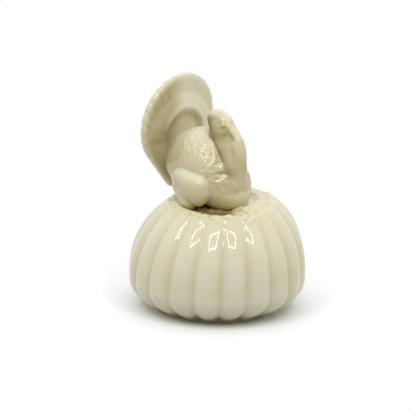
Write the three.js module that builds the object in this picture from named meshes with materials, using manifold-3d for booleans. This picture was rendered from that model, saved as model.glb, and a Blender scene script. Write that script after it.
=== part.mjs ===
// A turkey sitting on a pumpkin, the slip-cast and glazed kind of table decoration.
// The bird's parts are cast or pressed apart and stuck together with slip before firing.
// Millimetres, +Z up. The origin is the centre of the pumpkin's foot, on the table.
// The bird looks along -Y, and its right side is towards -X.
import * as THREE from "three";
import { mergeVertices } from "three/addons/utils/BufferGeometryUtils.js";
import Module from "manifold-3d";

const wasm = await Module();
wasm.setup();

// Fits
const jointGap = 0.3; // the film of slip between two castings
const overrun = 1; // how far a cutting tool runs past the face it cuts

// Pumpkin
const pumpkinDiameter = 71.6;
const bellyHeight = 14.5; // height of the widest ring
const shoulderHeight = 41.8; // where the side turns over into the crown
const shoulderDiameter = 48.6;
const crestDiameter = 39; // the highest ring, round the bird's seat
const crestHeight = 44.5;
const crownForward = 1.6; // how far the crown sits ahead of the belly
const seatDiameter = 25; // the flat on which the bird sits
const seatHeight = 41.4;
const ribCount = 20;
const ribDepth = 1.9; // at the belly
const pumpkinWall = 3.4;
const footDiameter = 49; // outside of the flat foot ring
const footWidth = 5;
const footRecess = 1.5; // how far the base is hollowed inside the foot ring
const kilnVentDiameter = 10; // lets the kiln gases out through the base

// Bird's body, measured from the seat
const bodyLength = 37.4;
const bodyFront = 12.8; // from the seat's axis forward to the breast
const bodyHeight = 31;
const bodyWidth = 25.6;
const bodyWall = 3;
const bodyVentDiameter = 6; // joins the body's hollow to the pumpkin's

// Tail fan
const fanRadius = 20;
const fanRootRadius = 4.6;
const fanRise = 23.4; // from the root's centre up to the fan's centre
const fanRootHeight = 7.8; // root's centre above the seat
const fanThickness = 3.6;
const fanCurl = 4.4; // how far the top leans out in front of the root
const fanDish = 2; // how far the rim stands in front of the middle
const featherWidth = 4.9; // at the rim
const scallopDepth = 0.8;
const ribletDepth = 0.35; // of the grooves between feathers

// Short feathers in front of the fan
const covertRadius = 10;
const covertRootRadius = 6.5;
const covertRise = 9.5;
const covertRootHeight = 20.2;
const covertDepth = 7.4; // from the fan's face forward to the rim
const covertFlare = 3; // how much wider the back is than the rim
const covertDish = 4;
const covertWidth = 3.9; // of one feather
const covertScallop = 0.6;

// Wings
const wingLength = 20;
const wingHeight = 15.4;
const wingThickness = 9;
const wingFront = 4.8; // from the seat's axis forward to the wing's blunt front
const wingSpread = 12; // from the middle plane out to the wing's middle
const wingMiddle = 7.8; // height above the seat
const tipLength = 13; // the long feathers that droop behind the wing
const tipWidth = 8.6;
const tipThickness = 7;

// Neck, head and what hangs from them
const neckWidth = 11;
const neckDepth = 11;
const headLength = 12.5;
const headWidth = 7.4;
const headHeight = 7.4;
const beakLength = 5.8;
const beakWidth = 4.4;
const eyeDiameter = 1.7;
const snoodWidth = 3.6;
const snoodThickness = 2.6;
const wattleWidth = 7.2;
const wattleThickness = 4.8;

// Bead of slip where the bird is stuck to the pumpkin
const beadDiameter = 2.6;
const beadLengthRadius = 13; // of the oval that it follows, front to back
const beadWidthRadius = 10.4;

// Facet counts
const ribSteps = 5; // round each rib
const roundSides = 40;
const limbSides = 20;
const featherSteps = 4; // across each feather
const fanRings = 5;

const radiansOf = THREE.MathUtils.degToRad;

// A closed skin over rings of points, each end closed to its ring's own middle.
function skin(rings) {
  const count = rings[0].length;
  const points = rings.flat();
  const first = points.length;
  points.push(middleOf(rings[0]), middleOf(rings[rings.length - 1]));
  const faces = [];
  for (let r = 0; r + 1 < rings.length; r++) {
    for (let i = 0; i < count; i++) {
      const a = r * count + i;
      const b = r * count + ((i + 1) % count);
      faces.push(a, b, b + count, a, b + count, a + count);
    }
  }
  const last = (rings.length - 1) * count;
  for (let i = 0; i < count; i++) {
    const next = (i + 1) % count;
    faces.push(first, next, i, first + 1, last + i, last + next);
  }
  return solidFrom(points, faces);
}

function middleOf(ring) {
  const sum = ring.reduce((total, point) => total.add(point), new THREE.Vector3());
  return sum.divideScalar(ring.length);
}

// A solid from points and triangle corners, turned so that its faces point out.
function solidFrom(points, faces) {
  let volume = 0;
  for (let f = 0; f < faces.length; f += 3) {
    const [a, b, c] = [points[faces[f]], points[faces[f + 1]], points[faces[f + 2]]];
    volume += a.dot(b.clone().cross(c));
  }
  const corners = volume < 0 ? faces.slice().reverse() : faces;
  const vertProperties = new Float32Array(points.flatMap((p) => [p.x, p.y, p.z]));
  const mesh = new wasm.Mesh({ numProp: 3, vertProperties, triVerts: new Uint32Array(corners) });
  return new wasm.Manifold(mesh);
}

// A three.js geometry as a solid.
function solidOf(geometry) {
  const bare = geometry.clone();
  bare.deleteAttribute("normal");
  bare.deleteAttribute("uv");
  const merged = mergeVertices(bare);
  const vertProperties = merged.attributes.position.array;
  const triVerts = new Uint32Array(merged.index.array);
  return new wasm.Manifold(new wasm.Mesh({ numProp: 3, vertProperties, triVerts }));
}

// A solid as a three.js geometry.
function geometryOf(solid) {
  const made = solid.getMesh();
  const geometry = new THREE.BufferGeometry();
  geometry.setAttribute("position", new THREE.BufferAttribute(made.vertProperties, 3));
  geometry.setIndex(new THREE.BufferAttribute(made.triVerts, 1));
  geometry.computeVertexNormals();
  return geometry;
}

// A solid turned about the upright axis from outline points that start and end on it.
function turned(outline, sides) {
  const geometry = new THREE.LatheGeometry(outline.map(([r, z]) => new THREE.Vector2(r, z)), sides);
  geometry.rotateX(Math.PI / 2);
  return solidOf(geometry);
}

// An upright cylinder from one height to another.
function post(diameter, low, high) {
  const geometry = new THREE.CylinderGeometry(diameter / 2, diameter / 2, high - low, roundSides);
  geometry.rotateX(Math.PI / 2);
  geometry.translate(0, 0, (low + high) / 2);
  return solidOf(geometry);
}

// An ellipsoid about a point, with its half sizes along X, Y and Z.
function egg(middle, halves) {
  const geometry = new THREE.SphereGeometry(1, limbSides, limbSides / 2);
  geometry.scale(...halves);
  geometry.translate(...middle);
  return solidOf(geometry);
}

// A rounded limb through stations [x, y, z, half width, half depth], its width along X and its
// depth across its own run. Growing it moves its whole skin out.
function limb(stations, grow = 0) {
  const rings = [];
  stations.forEach(([x, y, z, halfWidth, halfDepth], s) => {
    const before = stations[Math.max(s - 1, 0)];
    const after = stations[Math.min(s + 1, stations.length - 1)];
    const run = new THREE.Vector3(0, after[1] - before[1], after[2] - before[2]).normalize();
    const across = new THREE.Vector3(1, 0, 0);
    const deep = run.clone().cross(across);
    const end = s === 0 ? -grow : s === stations.length - 1 ? grow : 0;
    const middle = new THREE.Vector3(x, y, z).addScaledVector(run, end);
    const ring = [];
    for (let i = 0; i < limbSides; i++) {
      const angle = (2 * Math.PI * i) / limbSides;
      ring.push(
        middle
          .clone()
          .addScaledVector(across, (halfWidth + grow) * Math.cos(angle))
          .addScaledVector(deep, (halfDepth + grow) * Math.sin(angle)),
      );
    }
    rings.push(ring);
  });
  return skin(rings);
}

// Pumpkin

// The side's radius at a height: an egg curve above the belly, a tighter one below.
function sideRadius(z) {
  const radius = pumpkinDiameter / 2;
  const foot = footDiameter / 2;
  if (z < bellyHeight) {
    const down = 1 - z / bellyHeight;
    return foot + (radius - foot) * (1 - down ** 2.7);
  }
  const shoulder = shoulderDiameter / 2;
  const up = (z - bellyHeight) / (shoulderHeight - bellyHeight);
  const shoulderShare = 1 - (shoulder / radius) ** 2.12;
  const rise = shoulderShare ** (1 / 2.11) * up;
  return radius * (1 - rise ** 2.11) ** (1 / 2.12);
}

// How far the ring at a height is set forward.
const forwardAt = (z) => crownForward * Math.max((z - bellyHeight) / (seatHeight - bellyHeight), 0) ** 1.5;

// The pumpkin's outline from the foot to the seat: [radius, height, rib depth], and 1 where it
// faces outwards, 0 on the crest and -1 where it falls inwards to the seat.
function pumpkinOutline() {
  const foot = footDiameter / 2;
  const rows = [[foot - footWidth / 4, 0, ribDepth / 4, 1]];
  const lowSteps = 4;
  for (let i = 0; i < lowSteps; i++) {
    const z = footRecess / 2 + (bellyHeight - footRecess / 2) * (i / lowSteps) ** 1.4;
    rows.push([sideRadius(z), z, ribDepth * (0.5 + (0.5 * i) / lowSteps), 1]);
  }
  const highSteps = 8;
  for (let i = 0; i <= highSteps; i++) {
    const share = Math.sin(((i / highSteps) * Math.PI) / 2);
    const z = bellyHeight + (shoulderHeight - bellyHeight) * share;
    rows.push([sideRadius(z), z, ribDepth * (1 - (0.3 * i) / highSteps), 1]);
  }
  const shoulder = shoulderDiameter / 2;
  const crest = crestDiameter / 2;
  const seat = seatDiameter / 2;
  const over = crestHeight - shoulderHeight;
  const dip = crestHeight - seatHeight;
  rows.push([crest + (shoulder - crest) * 0.55, shoulderHeight + over * 0.72, ribDepth * 0.6, 1]);
  rows.push([crest, crestHeight, ribDepth * 0.5, 0]);
  rows.push([crest + (seat - crest) * 0.35, seatHeight + dip * 0.72, ribDepth * 0.3, -1]);
  rows.push([crest + (seat - crest) * 0.75, seatHeight + dip * 0.15, ribDepth * 0.1, -1]);
  rows.push([seat, seatHeight, 0, -1]);
  return rows;
}

// The ribbed solid, with a rib's middle straight ahead of the bird.
function pumpkinForm(grow = 0) {
  const count = ribCount * ribSteps;
  const rings = pumpkinOutline().map(([radius, height, depth, facing]) => {
    const ring = [];
    for (let i = 0; i < count; i++) {
      const angle = (2 * Math.PI * i) / count;
      const groove = 1 - Math.abs(Math.cos((angle * ribCount) / 2));
      const r = radius + grow * facing - depth * groove ** 1.6;
      const lift = height > bellyHeight ? grow - (depth * groove * height) / crestHeight / 3 : 0;
      const y = -r * Math.cos(angle) - forwardAt(height);
      ring.push(new THREE.Vector3(r * Math.sin(angle), y, height + lift));
    }
    return ring;
  });
  return skin(rings);
}

// The hollow inside the cast wall, from the base up to the crown.
function pumpkinHollow() {
  const floor = footRecess + pumpkinWall;
  const roof = seatHeight - pumpkinWall;
  const reach = pumpkinDiameter / 2 - ribDepth - pumpkinWall;
  const outline = [[0, floor], [footDiameter / 2 - footWidth, floor], [reach * 0.93, floor + bellyHeight / 4]];
  const steps = 5;
  for (let i = 0; i <= steps; i++) {
    const z = bellyHeight + (roof - bellyHeight) * 0.9 * Math.sin(((i / steps) * Math.PI) / 2);
    outline.push([sideRadius(z) - ribDepth - pumpkinWall - forwardAt(z), z]);
  }
  outline.push([seatDiameter / 2, roof], [0, roof]);
  return turned(outline, roundSides);
}

function pumpkinShell() {
  const recess = post(footDiameter - 2 * footWidth, -overrun, footRecess);
  const kilnVent = post(kilnVentDiameter, -overrun, footRecess + pumpkinWall + overrun);
  const birdVent = post(bodyVentDiameter, seatHeight - pumpkinWall - overrun, seatHeight + overrun);
  return pumpkinForm().subtract(pumpkinHollow()).subtract(recess).subtract(kilnVent).subtract(birdVent);
}

// Bird's body

const bodyY = (share) => -bodyFront + share * bodyLength;
const bodyZ = (share) => seatHeight + share * bodyHeight;

// From the breast back to the root of the tail: shares of the length, of the height for the
// underside and the back, and of the width for the half width.
const bodyShares = [
  [0.0, 0.24, 0.4, 0.1],
  [0.04, 0.12, 0.5, 0.23],
  [0.12, 0.02, 0.62, 0.36],
  [0.24, -0.03, 0.75, 0.45],
  [0.38, -0.04, 0.87, 0.5],
  [0.5, -0.04, 0.95, 0.5],
  [0.62, -0.02, 1.01, 0.475],
  [0.73, 0.03, 0.98, 0.43],
  [0.84, 0.1, 0.86, 0.37],
  [0.93, 0.18, 0.7, 0.3],
  [1.0, 0.26, 0.55, 0.2],
];

function bodyForm(grow = 0) {
  const stations = bodyShares.map(([along, low, high, half]) => [
    0,
    bodyY(along),
    (bodyZ(low) + bodyZ(high)) / 2,
    half * bodyWidth,
    ((high - low) / 2) * bodyHeight,
  ]);
  return limb(stations, grow);
}

// Everything under a height, for cutting a flat.
function below(height) {
  const size = 2 * (pumpkinDiameter + bodyLength);
  const geometry = new THREE.BoxGeometry(size, size, size);
  geometry.translate(0, 0, height - size / 2);
  return solidOf(geometry);
}

function turkeyBody() {
  const hollow = bodyForm(-bodyWall).subtract(below(seatHeight + bodyWall));
  const vent = post(bodyVentDiameter, seatHeight - overrun, seatHeight + bodyWall + overrun);
  return bodyForm().subtract(below(seatHeight)).subtract(pumpkinForm(jointGap)).subtract(hollow).subtract(vent);
}

// Tail

// Points at even steps along a fan's outline, with the root's centre at the origin and the
// first point at the bottom: a big circle above a small one, and straight sides between them.
function fanOutline(radius, rootRadius, rise, pitch) {
  const tilt = Math.asin((radius - rootRadius) / rise);
  const shape = new THREE.Shape();
  shape.absarc(0, 0, rootRadius, -Math.PI / 2, -tilt, false);
  shape.absarc(0, rise, radius, -tilt, Math.PI + tilt, false);
  shape.absarc(0, 0, rootRadius, Math.PI + tilt, 1.5 * Math.PI, false);
  const feathers = 2 * Math.round(shape.getLength() / pitch / 2) + 1;
  const count = feathers * featherSteps;
  return shape.getSpacedPoints(count).slice(0, count);
}

// A dished fan of feathers, upright and facing forward, with its root's centre at the origin.
// Its face and back bow by the dish, curl forward towards the top, and can flare apart.
function fanForm(sizes, place, grow = 0) {
  const { radius, rootRadius, rise, thickness, flare, dish, curl, pitch, scallop, flatBack } = sizes;
  const outline = fanOutline(radius, rootRadius, rise, pitch);
  const height = radius + rise + rootRadius;
  const ringAt = (share, y, wider) =>
    outline.map((point, i) => {
      const step = (i % featherSteps) / featherSteps;
      const notch = 1 - Math.sin(Math.PI * step);
      const upper = Math.min(Math.max((point.y + rootRadius) / rise, 0), 1);
      const reach = point.length();
      const out = (share * (reach + wider * upper - scallop * notch * upper + grow)) / reach;
      const z = point.y * out;
      const bend = curl * Math.max(z / height + 0.15, 0) ** 2;
      const riblet = wider > 0 ? 0 : ribletDepth * notch * share * upper;
      return new THREE.Vector3(point.x * out, y - bend + riblet, z);
    });
  const rings = [];
  for (let j = 1; j <= fanRings; j++) {
    const share = j / fanRings;
    rings.push(ringAt(share, dish * (1 - share ** 2) - grow, 0));
  }
  for (let j = fanRings; j >= 1; j--) {
    const share = j / fanRings;
    const bow = flatBack ? 0 : dish * (1 - share ** 2);
    rings.push(ringAt(share, thickness + bow + grow, flare));
  }
  return skin(rings.map((ring) => ring.map((point) => point.applyMatrix4(place))));
}

// The fans stand across the body's tail end.
const fanY = bodyY(1) - fanThickness / 4 + jointGap;

function fanSolid(grow = 0) {
  const sizes = {
    radius: fanRadius,
    rootRadius: fanRootRadius,
    rise: fanRise,
    thickness: fanThickness,
    flare: 0,
    dish: fanDish,
    curl: fanCurl,
    pitch: featherWidth,
    scallop: scallopDepth,
    flatBack: false,
  };
  const place = new THREE.Matrix4().makeTranslation(0, fanY, seatHeight + fanRootHeight);
  return fanForm(sizes, place, grow);
}

function tailFan() {
  return fanSolid().subtract(bodyForm(jointGap));
}

function covertSolid(grow = 0) {
  const sizes = {
    radius: covertRadius,
    rootRadius: covertRootRadius,
    rise: covertRise,
    thickness: covertDepth + fanThickness / 2,
    flare: covertFlare,
    dish: covertDish,
    curl: fanCurl / 2,
    pitch: covertWidth,
    scallop: covertScallop,
    flatBack: true,
  };
  const place = new THREE.Matrix4().makeTranslation(0, fanY - covertDepth, seatHeight + covertRootHeight);
  return fanForm(sizes, place, grow);
}

function tailCoverts() {
  return covertSolid().subtract(fanSolid(jointGap)).subtract(bodyForm(jointGap));
}

// Wings

// From the blunt front back to the rear edge: shares of the length, of the spread, of the
// height for the middle line, and of the thickness and the height for the half sizes.
const wingShares = [
  [0.0, 0.92, -0.12, 0.12, 0.14],
  [0.05, 0.96, -0.11, 0.28, 0.29],
  [0.18, 1.0, -0.07, 0.42, 0.41],
  [0.38, 1.03, -0.02, 0.5, 0.47],
  [0.6, 1.02, 0.03, 0.5, 0.47],
  [0.8, 0.97, 0.08, 0.42, 0.4],
  [0.94, 0.9, 0.1, 0.3, 0.28],
  [1.0, 0.86, 0.1, 0.12, 0.12],
];

// The drooping tips: shares of the length down, of the wing's length back, and of the spread,
// then of their own thickness and width for the half sizes.
const tipShares = [
  [0.0, 0.7, 0.9, 0.3, 0.35],
  [0.2, 0.74, 0.92, 0.48, 0.46],
  [0.55, 0.76, 0.96, 0.5, 0.5],
  [0.85, 0.74, 1.0, 0.46, 0.5],
  [1.0, 0.72, 1.0, 0.36, 0.42],
];

function wingForm(side, grow = 0) {
  const middle = seatHeight + wingMiddle;
  const main = wingShares.map(([along, out, up, halfOut, halfUp]) => [
    side * out * wingSpread,
    -wingFront + along * wingLength,
    middle + up * wingHeight,
    halfOut * wingThickness,
    halfUp * wingHeight,
  ]);
  const tips = tipShares.map(([down, along, out, halfOut, halfAlong]) => [
    side * out * wingSpread,
    -wingFront + along * wingLength,
    middle + wingHeight * 0.3 - down * tipLength,
    halfOut * tipThickness,
    halfAlong * tipWidth,
  ]);
  return limb(main, grow).add(limb(tips, grow));
}

function wing(side) {
  return wingForm(side)
    .subtract(bodyForm(jointGap))
    .subtract(pumpkinForm(jointGap))
    .subtract(fanSolid(jointGap));
}

// Neck and head

const headY = bodyY(0.342);
const headZ = bodyZ(1.132);

// From the breast up to the head: shares of the body for the place, then of the neck's own
// width and depth for the half sizes.
const neckShares = [
  [0.17, 0.34, 0.4, 0.36],
  [0.16, 0.5, 0.54, 0.5],
  [0.176, 0.665, 0.53, 0.5],
  [0.214, 0.826, 0.45, 0.47],
  [0.283, 0.987, 0.38, 0.4],
  [0.342, 1.1, 0.3, 0.3],
];

// From the back of the head along the crown to the beak's root: shares of the head's length
// and height from its middle, then of its width and of its height for the half sizes.
const headShares = [
  [0.288, 0.203, 0.216, 0.216],
  [0.208, 0.176, 0.39, 0.39],
  [0.048, 0.068, 0.486, 0.5],
  [-0.16, -0.203, 0.5, 0.5],
  [-0.384, -0.527, 0.43, 0.43],
  [-0.544, -0.77, 0.32, 0.32],
];

const beakShares = [
  [0.0, 0.5, 0.5],
  [0.45, 0.4, 0.42],
  [0.85, 0.24, 0.26],
  [1.0, 0.1, 0.12],
];

function headForm(grow = 0) {
  const neck = neckShares.map(([along, up, halfWidth, halfDepth]) => [
    0,
    bodyY(along),
    bodyZ(up),
    halfWidth * neckWidth,
    halfDepth * neckDepth,
  ]);
  const head = headShares.map(([along, up, halfWidth, halfHeight]) => [
    0,
    headY + along * headLength,
    headZ + up * headHeight,
    halfWidth * headWidth,
    halfHeight * headHeight,
  ]);
  const [rootAlong, rootUp] = headShares[headShares.length - 1];
  const beak = beakShares.map(([along, halfWidth, halfHeight]) => [
    0,
    headY + rootAlong * headLength - along * beakLength * 0.72,
    headZ + rootUp * headHeight - along * beakLength * 0.62,
    halfWidth * beakWidth,
    halfHeight * beakWidth,
  ]);
  return limb(neck, grow).add(limb(head, grow)).add(limb(beak, grow));
}

function neckAndHead() {
  const eyes = [-1, 1].map((side) =>
    egg(
      [side * headWidth * 0.47, headY - headLength * 0.2, headZ - headHeight * 0.02],
      [eyeDiameter * 0.35, eyeDiameter / 2, eyeDiameter / 2],
    ),
  );
  return headForm().add(eyes[0]).add(eyes[1]).subtract(bodyForm(jointGap));
}

// Snood: from the forehead down over the beak. Shares of the head's length and height from its
// middle, then of the snood's own width and thickness.
const snoodShares = [
  [0.064, 0.595, 0.3, 0.4],
  [-0.128, 0.473, 0.46, 0.5],
  [-0.352, 0.149, 0.5, 0.5],
  [-0.528, -0.203, 0.5, 0.5],
  [-0.712, -0.527, 0.5, 0.5],
  [-0.88, -0.85, 0.5, 0.5],
  [-0.92, -1.176, 0.46, 0.46],
  [-0.904, -1.34, 0.24, 0.28],
];

function snoodForm(grow = 0) {
  const stations = snoodShares.map(([along, up, halfWidth, halfThickness]) => [
    0,
    headY + along * headLength,
    headZ + up * headHeight,
    halfWidth * snoodWidth,
    halfThickness * snoodThickness,
  ]);
  return limb(stations, grow);
}

function snood() {
  return snoodForm().subtract(headForm(jointGap)).subtract(bodyForm(jointGap));
}

// Wattle: from the throat down the front of the neck to the breast, shares as for the snood
// but of the body's length and height.
const wattleShares = [
  [0.107, 0.874, 0.22, 0.29],
  [0.075, 0.81, 0.39, 0.46],
  [0.053, 0.713, 0.47, 0.5],
  [0.04, 0.584, 0.5, 0.5],
  [0.043, 0.471, 0.42, 0.42],
  [0.053, 0.406, 0.2, 0.2],
];

function wattle() {
  const stations = wattleShares.map(([along, up, halfWidth, halfThickness]) => [
    0,
    bodyY(along),
    bodyZ(up),
    halfWidth * wattleWidth,
    halfThickness * wattleThickness,
  ]);
  return limb(stations)
    .subtract(headForm(jointGap))
    .subtract(bodyForm(jointGap))
    .subtract(snoodForm(jointGap));
}

// Bead of slip round the seat

function seatBead() {
  const rings = [];
  const turns = roundSides;
  const sides = limbSides / 2;
  const points = [];
  for (let i = 0; i < turns; i++) {
    const angle = (2 * Math.PI * i) / turns;
    const out = new THREE.Vector3(Math.sin(angle), -Math.cos(angle), 0);
    const middle = new THREE.Vector3(
      beadWidthRadius * Math.sin(angle),
      -beadLengthRadius * Math.cos(angle),
      seatHeight + beadDiameter / 4,
    );
    for (let k = 0; k < sides; k++) {
      const turn = (2 * Math.PI * k) / sides;
      points.push(
        middle
          .clone()
          .addScaledVector(out, (beadDiameter / 2) * Math.cos(turn))
          .add(new THREE.Vector3(0, 0, (beadDiameter / 2) * Math.sin(turn))),
      );
    }
    rings.push(i);
  }
  const faces = [];
  for (let i = 0; i < turns; i++) {
    for (let k = 0; k < sides; k++) {
      const a = i * sides + k;
      const b = i * sides + ((k + 1) % sides);
      const c = ((i + 1) % turns) * sides + ((k + 1) % sides);
      const d = ((i + 1) % turns) * sides + k;
      faces.push(a, b, c, a, c, d);
    }
  }
  return solidFrom(points, faces)
    .subtract(bodyForm(jointGap))
    .subtract(pumpkinForm(jointGap))
    .subtract(wingForm(-1, jointGap))
    .subtract(wingForm(1, jointGap));
}

// Assembly

const glaze = { color: 0xded8bb, roughness: 0.16, metalness: 0 };
const figure = new THREE.Group();

function add(name, solid) {
  const mesh = new THREE.Mesh(geometryOf(solid), new THREE.MeshStandardMaterial(glaze));
  mesh.name = name;
  figure.add(mesh);
}

add("pumpkin_shell", pumpkinShell());
add("turkey_body", turkeyBody());
add("tail_fan", tailFan());
add("tail_coverts", tailCoverts());
add("right_wing", wing(-1));
add("left_wing", wing(1));
add("neck_and_head", neckAndHead());
add("snood", snood());
add("wattle", wattle());
add("seat_slip_bead", seatBead());

export default figure;
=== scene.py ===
"""A turkey on a pumpkin, dressed as the glazed ceramic figure that it is.

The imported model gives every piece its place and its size. Each piece made here stands for one
of its nodes. Lengths are in metres, +Z up, and the bird looks along -Y.
"""

import math

import bpy
import numpy as np
from bpy.props import FloatProperty, FloatVectorProperty, IntProperty, PointerProperty
from mathutils import Euler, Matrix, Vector


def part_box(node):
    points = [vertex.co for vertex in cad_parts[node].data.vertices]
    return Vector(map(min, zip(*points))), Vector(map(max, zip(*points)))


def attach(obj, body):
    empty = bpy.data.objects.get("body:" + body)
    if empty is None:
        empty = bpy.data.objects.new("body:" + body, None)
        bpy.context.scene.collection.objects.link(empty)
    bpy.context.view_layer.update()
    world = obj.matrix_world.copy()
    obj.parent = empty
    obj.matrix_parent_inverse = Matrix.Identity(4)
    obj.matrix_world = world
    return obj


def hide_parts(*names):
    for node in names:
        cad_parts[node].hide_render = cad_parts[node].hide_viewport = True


bl_info = {
    "name": "Turkey on a pumpkin",
    "version": (1, 0, 0),
    "blender": (4, 5, 0),
    "location": "3D View > Sidebar > Turkey figure",
    "description": "Models the glazed castings of a turkey sitting on a pumpkin, and their stage",
    "category": "Add Mesh",
}

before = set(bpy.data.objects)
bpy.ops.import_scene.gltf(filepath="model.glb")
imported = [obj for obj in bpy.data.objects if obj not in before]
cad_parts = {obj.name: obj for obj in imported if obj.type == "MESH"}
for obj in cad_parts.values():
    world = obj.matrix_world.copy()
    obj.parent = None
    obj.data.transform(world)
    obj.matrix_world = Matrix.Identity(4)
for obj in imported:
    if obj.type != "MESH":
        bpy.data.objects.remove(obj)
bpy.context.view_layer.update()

MM = 0.001
BODY = "root"
JOINT_GAP = 0.3 * MM
LIP = 0.5 * MM  # how far under the glaze two castings meet


def corners(node):
    """A node's lowest and highest corners as arrays."""
    low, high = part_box(node)
    return np.array(low), np.array(high)


PUMPKIN_LOW, PUMPKIN_HIGH = corners("pumpkin_shell")
BIRD_LOW, BIRD_HIGH = corners("turkey_body")
BEAD_LOW, BEAD_HIGH = corners("seat_slip_bead")
SEAT_HEIGHT = BIRD_LOW[2] - JOINT_GAP


# Sizes and colours


def length_property(name, description, default, **limits):
    """A length that the user can change."""
    return FloatProperty(name=name, description=description, unit="LENGTH", default=default, **limits)


def angle_property(name, description, degrees):
    """An angle that the user can change."""
    return FloatProperty(name=name, description=description, unit="ROTATION", default=math.radians(degrees))


def light_property(name, description, default):
    """A light's strength that the user can change."""
    return FloatProperty(name=name, description=description, default=default, min=0)


def colour_property(name, description, default):
    """A colour that the user can change."""
    return FloatVectorProperty(
        name=name, description=description, subtype="COLOR", size=3, default=default, min=0, max=1
    )


class PumpkinSizes(bpy.types.PropertyGroup):
    """Sizes of the ribbed pumpkin."""

    diameter: length_property("Diameter", "Across the belly", float(PUMPKIN_HIGH[0] - PUMPKIN_LOW[0]))
    crest_height: length_property("Crest height", "Top of the crown's rim", float(PUMPKIN_HIGH[2]))
    belly_height: length_property("Belly height", "Height of the widest ring", 14.5 * MM)
    shoulder_height: length_property("Shoulder height", "Where the side turns into the crown", 41.8 * MM)
    shoulder_diameter: length_property("Shoulder diameter", "Across the shoulder", 48.6 * MM)
    crest_diameter: length_property("Crest diameter", "Of the crown's highest ring", 39 * MM)
    seat_diameter: length_property("Seat diameter", "Of the flat that carries the bird", 25 * MM)
    crown_forward: length_property("Crown forward", "How far the crown sits ahead of the belly", 1.6 * MM)
    foot_diameter: length_property("Foot diameter", "Outside of the foot ring", 49 * MM)
    foot_width: length_property("Foot width", "Of the flat foot ring", 5 * MM)
    foot_recess: length_property("Foot recess", "Depth of the hollow inside the foot ring", 1.5 * MM)
    wall: length_property("Wall", "Thickness of the cast wall", 3.4 * MM)
    kiln_vent: length_property("Kiln vent", "Diameter of the hole in the base", 10 * MM)
    bird_vent: length_property("Bird vent", "Diameter of the hole up to the bird", 6 * MM)
    rib_count: IntProperty(name="Ribs", description="Ribs round the pumpkin", default=20, min=6, max=40)
    rib_depth: length_property("Rib depth", "Depth of the grooves at the belly", 1.9 * MM)
    lip_sag: length_property("Lip sag", "How far the crown's lip sags in front of the wing", 1.7 * MM)
    lip_rise: length_property("Lip rise", "How far the lip stands up on the bird's left", 1.2 * MM)
    underside_lift: length_property("Underside lift", "How far the ribs stop above the table", 1.0 * MM)


class TurkeySizes(bpy.types.PropertyGroup):
    """Sizes of the turkey."""

    clay_grain: length_property("Clay grain", "Finest detail of the modelled clay", 0.3 * MM, min=0.1 * MM)
    feather_width: length_property("Feather width", "Of one tail feather at the rim", 4.9 * MM)
    scallop_depth: length_property("Scallop depth", "Of the notches between tail feathers", 0.5 * MM)
    riblet_depth: length_property("Riblet depth", "Of the grooves between tail feathers", 0.25 * MM)
    scale_depth: length_property("Scale depth", "How far a short feather's tip stands up", 0.3 * MM)
    crease_depth: length_property("Crease depth", "Of the lines between the wing's feathers", 0.25 * MM)
    eye_diameter: length_property("Eye", "Diameter of an eye", 1.7 * MM)


class GlazeColours(bpy.types.PropertyGroup):
    """Colours of the glaze and of the floor. The glaze's colours also paint light and shade: thin the
    highlights on rims and ridges, thick and darkest the shade on steep sides, in hollows and under the bird.
    """

    # The thin colour also paints highlights on rims and ridges. The thick and darkest colours also paint
    # shade on steep sides, in creases, at the foot and under the bird, as well as the glaze gathered there.
    thin: colour_property("Thin", "The glaze where it ran off an edge", (0.77, 0.75, 0.60))
    cream: colour_property("Cream", "The glaze on a plain face", (0.71, 0.665, 0.45))
    thick_and_shade: colour_property("Thick", "The glaze where it has run together", (0.56, 0.49, 0.275))
    pooled_and_shade: colour_property("Pooled", "The glaze where it fills a hollow", (0.22, 0.15, 0.035))
    floor: colour_property("Floor", "The floor's colour", (0.965, 0.975, 0.985))
    floor_bounce: colour_property("Floor, in the shade", "What the floor throws back up", (0.6, 0.6, 0.6))


class StageSizes(bpy.types.PropertyGroup):
    """The camera's place and the lamps."""

    azimuth: angle_property("Azimuth", "Of the camera, round to the bird's right", 47.5)
    elevation: angle_property("Elevation", "Of the camera", 17.5)
    distance: length_property("Distance", "From the origin to the camera", 0.8966)
    roll: angle_property("Roll", "Of the camera about its line of sight", -1.474)
    aim: FloatVectorProperty(
        name="Aim", description="The point in the middle of the picture", subtype="TRANSLATION", size=3,
        default=(-2.89 * MM, 3.12 * MM, 40.47 * MM),
    )
    lens: FloatProperty(
        name="Lens", description="Focal length in millimetres", subtype="DISTANCE_CAMERA",
        default=191.78, min=10, max=1000,
    )
    lamp_power: light_property("Lamp power", "Watts of the whole lamp ring", 1.55)
    lamp_distance: length_property("Lamp distance", "From the origin to the middle of the lamp ring", 0.55)
    lamp_elevation: angle_property("Lamp elevation", "Of the middle of the lamp ring", 57)
    tent_walls: light_property("Tent walls", "Light from the tent", 0.95)
    tent_opening: light_property("Tent opening", "Light from the open side where the camera stands", 0.15)


# Mesh helpers


def choose(piece):
    """Makes a piece the only chosen and active object."""
    bpy.ops.object.select_all(action="DESELECT")
    piece.select_set(True)
    bpy.context.view_layer.objects.active = piece


def clear_choice():
    """Leaves nothing chosen, so that the next primitive stands alone."""
    if bpy.context.object and bpy.context.object.mode != "OBJECT":
        bpy.ops.object.mode_set(mode="OBJECT")
    bpy.ops.object.select_all(action="DESELECT")


def name_new(name):
    """Names the primitive that was just added, and returns it."""
    piece = bpy.context.object
    piece.name = piece.data.name = name
    return piece


def read_vectors(items, name):
    """A vector of each of a mesh's items, as the rows of an array."""
    flat = np.empty(len(items) * 3, np.float32)
    items.foreach_get(name, flat)
    return flat.reshape(-1, 3).astype(float)


def points_of(piece):
    """A mesh's points as an array."""
    return read_vectors(piece.data.vertices, "co")


def normals_of(piece):
    """The outward direction at each of a mesh's points."""
    return read_vectors(piece.data.vertex_normals, "vector")


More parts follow.
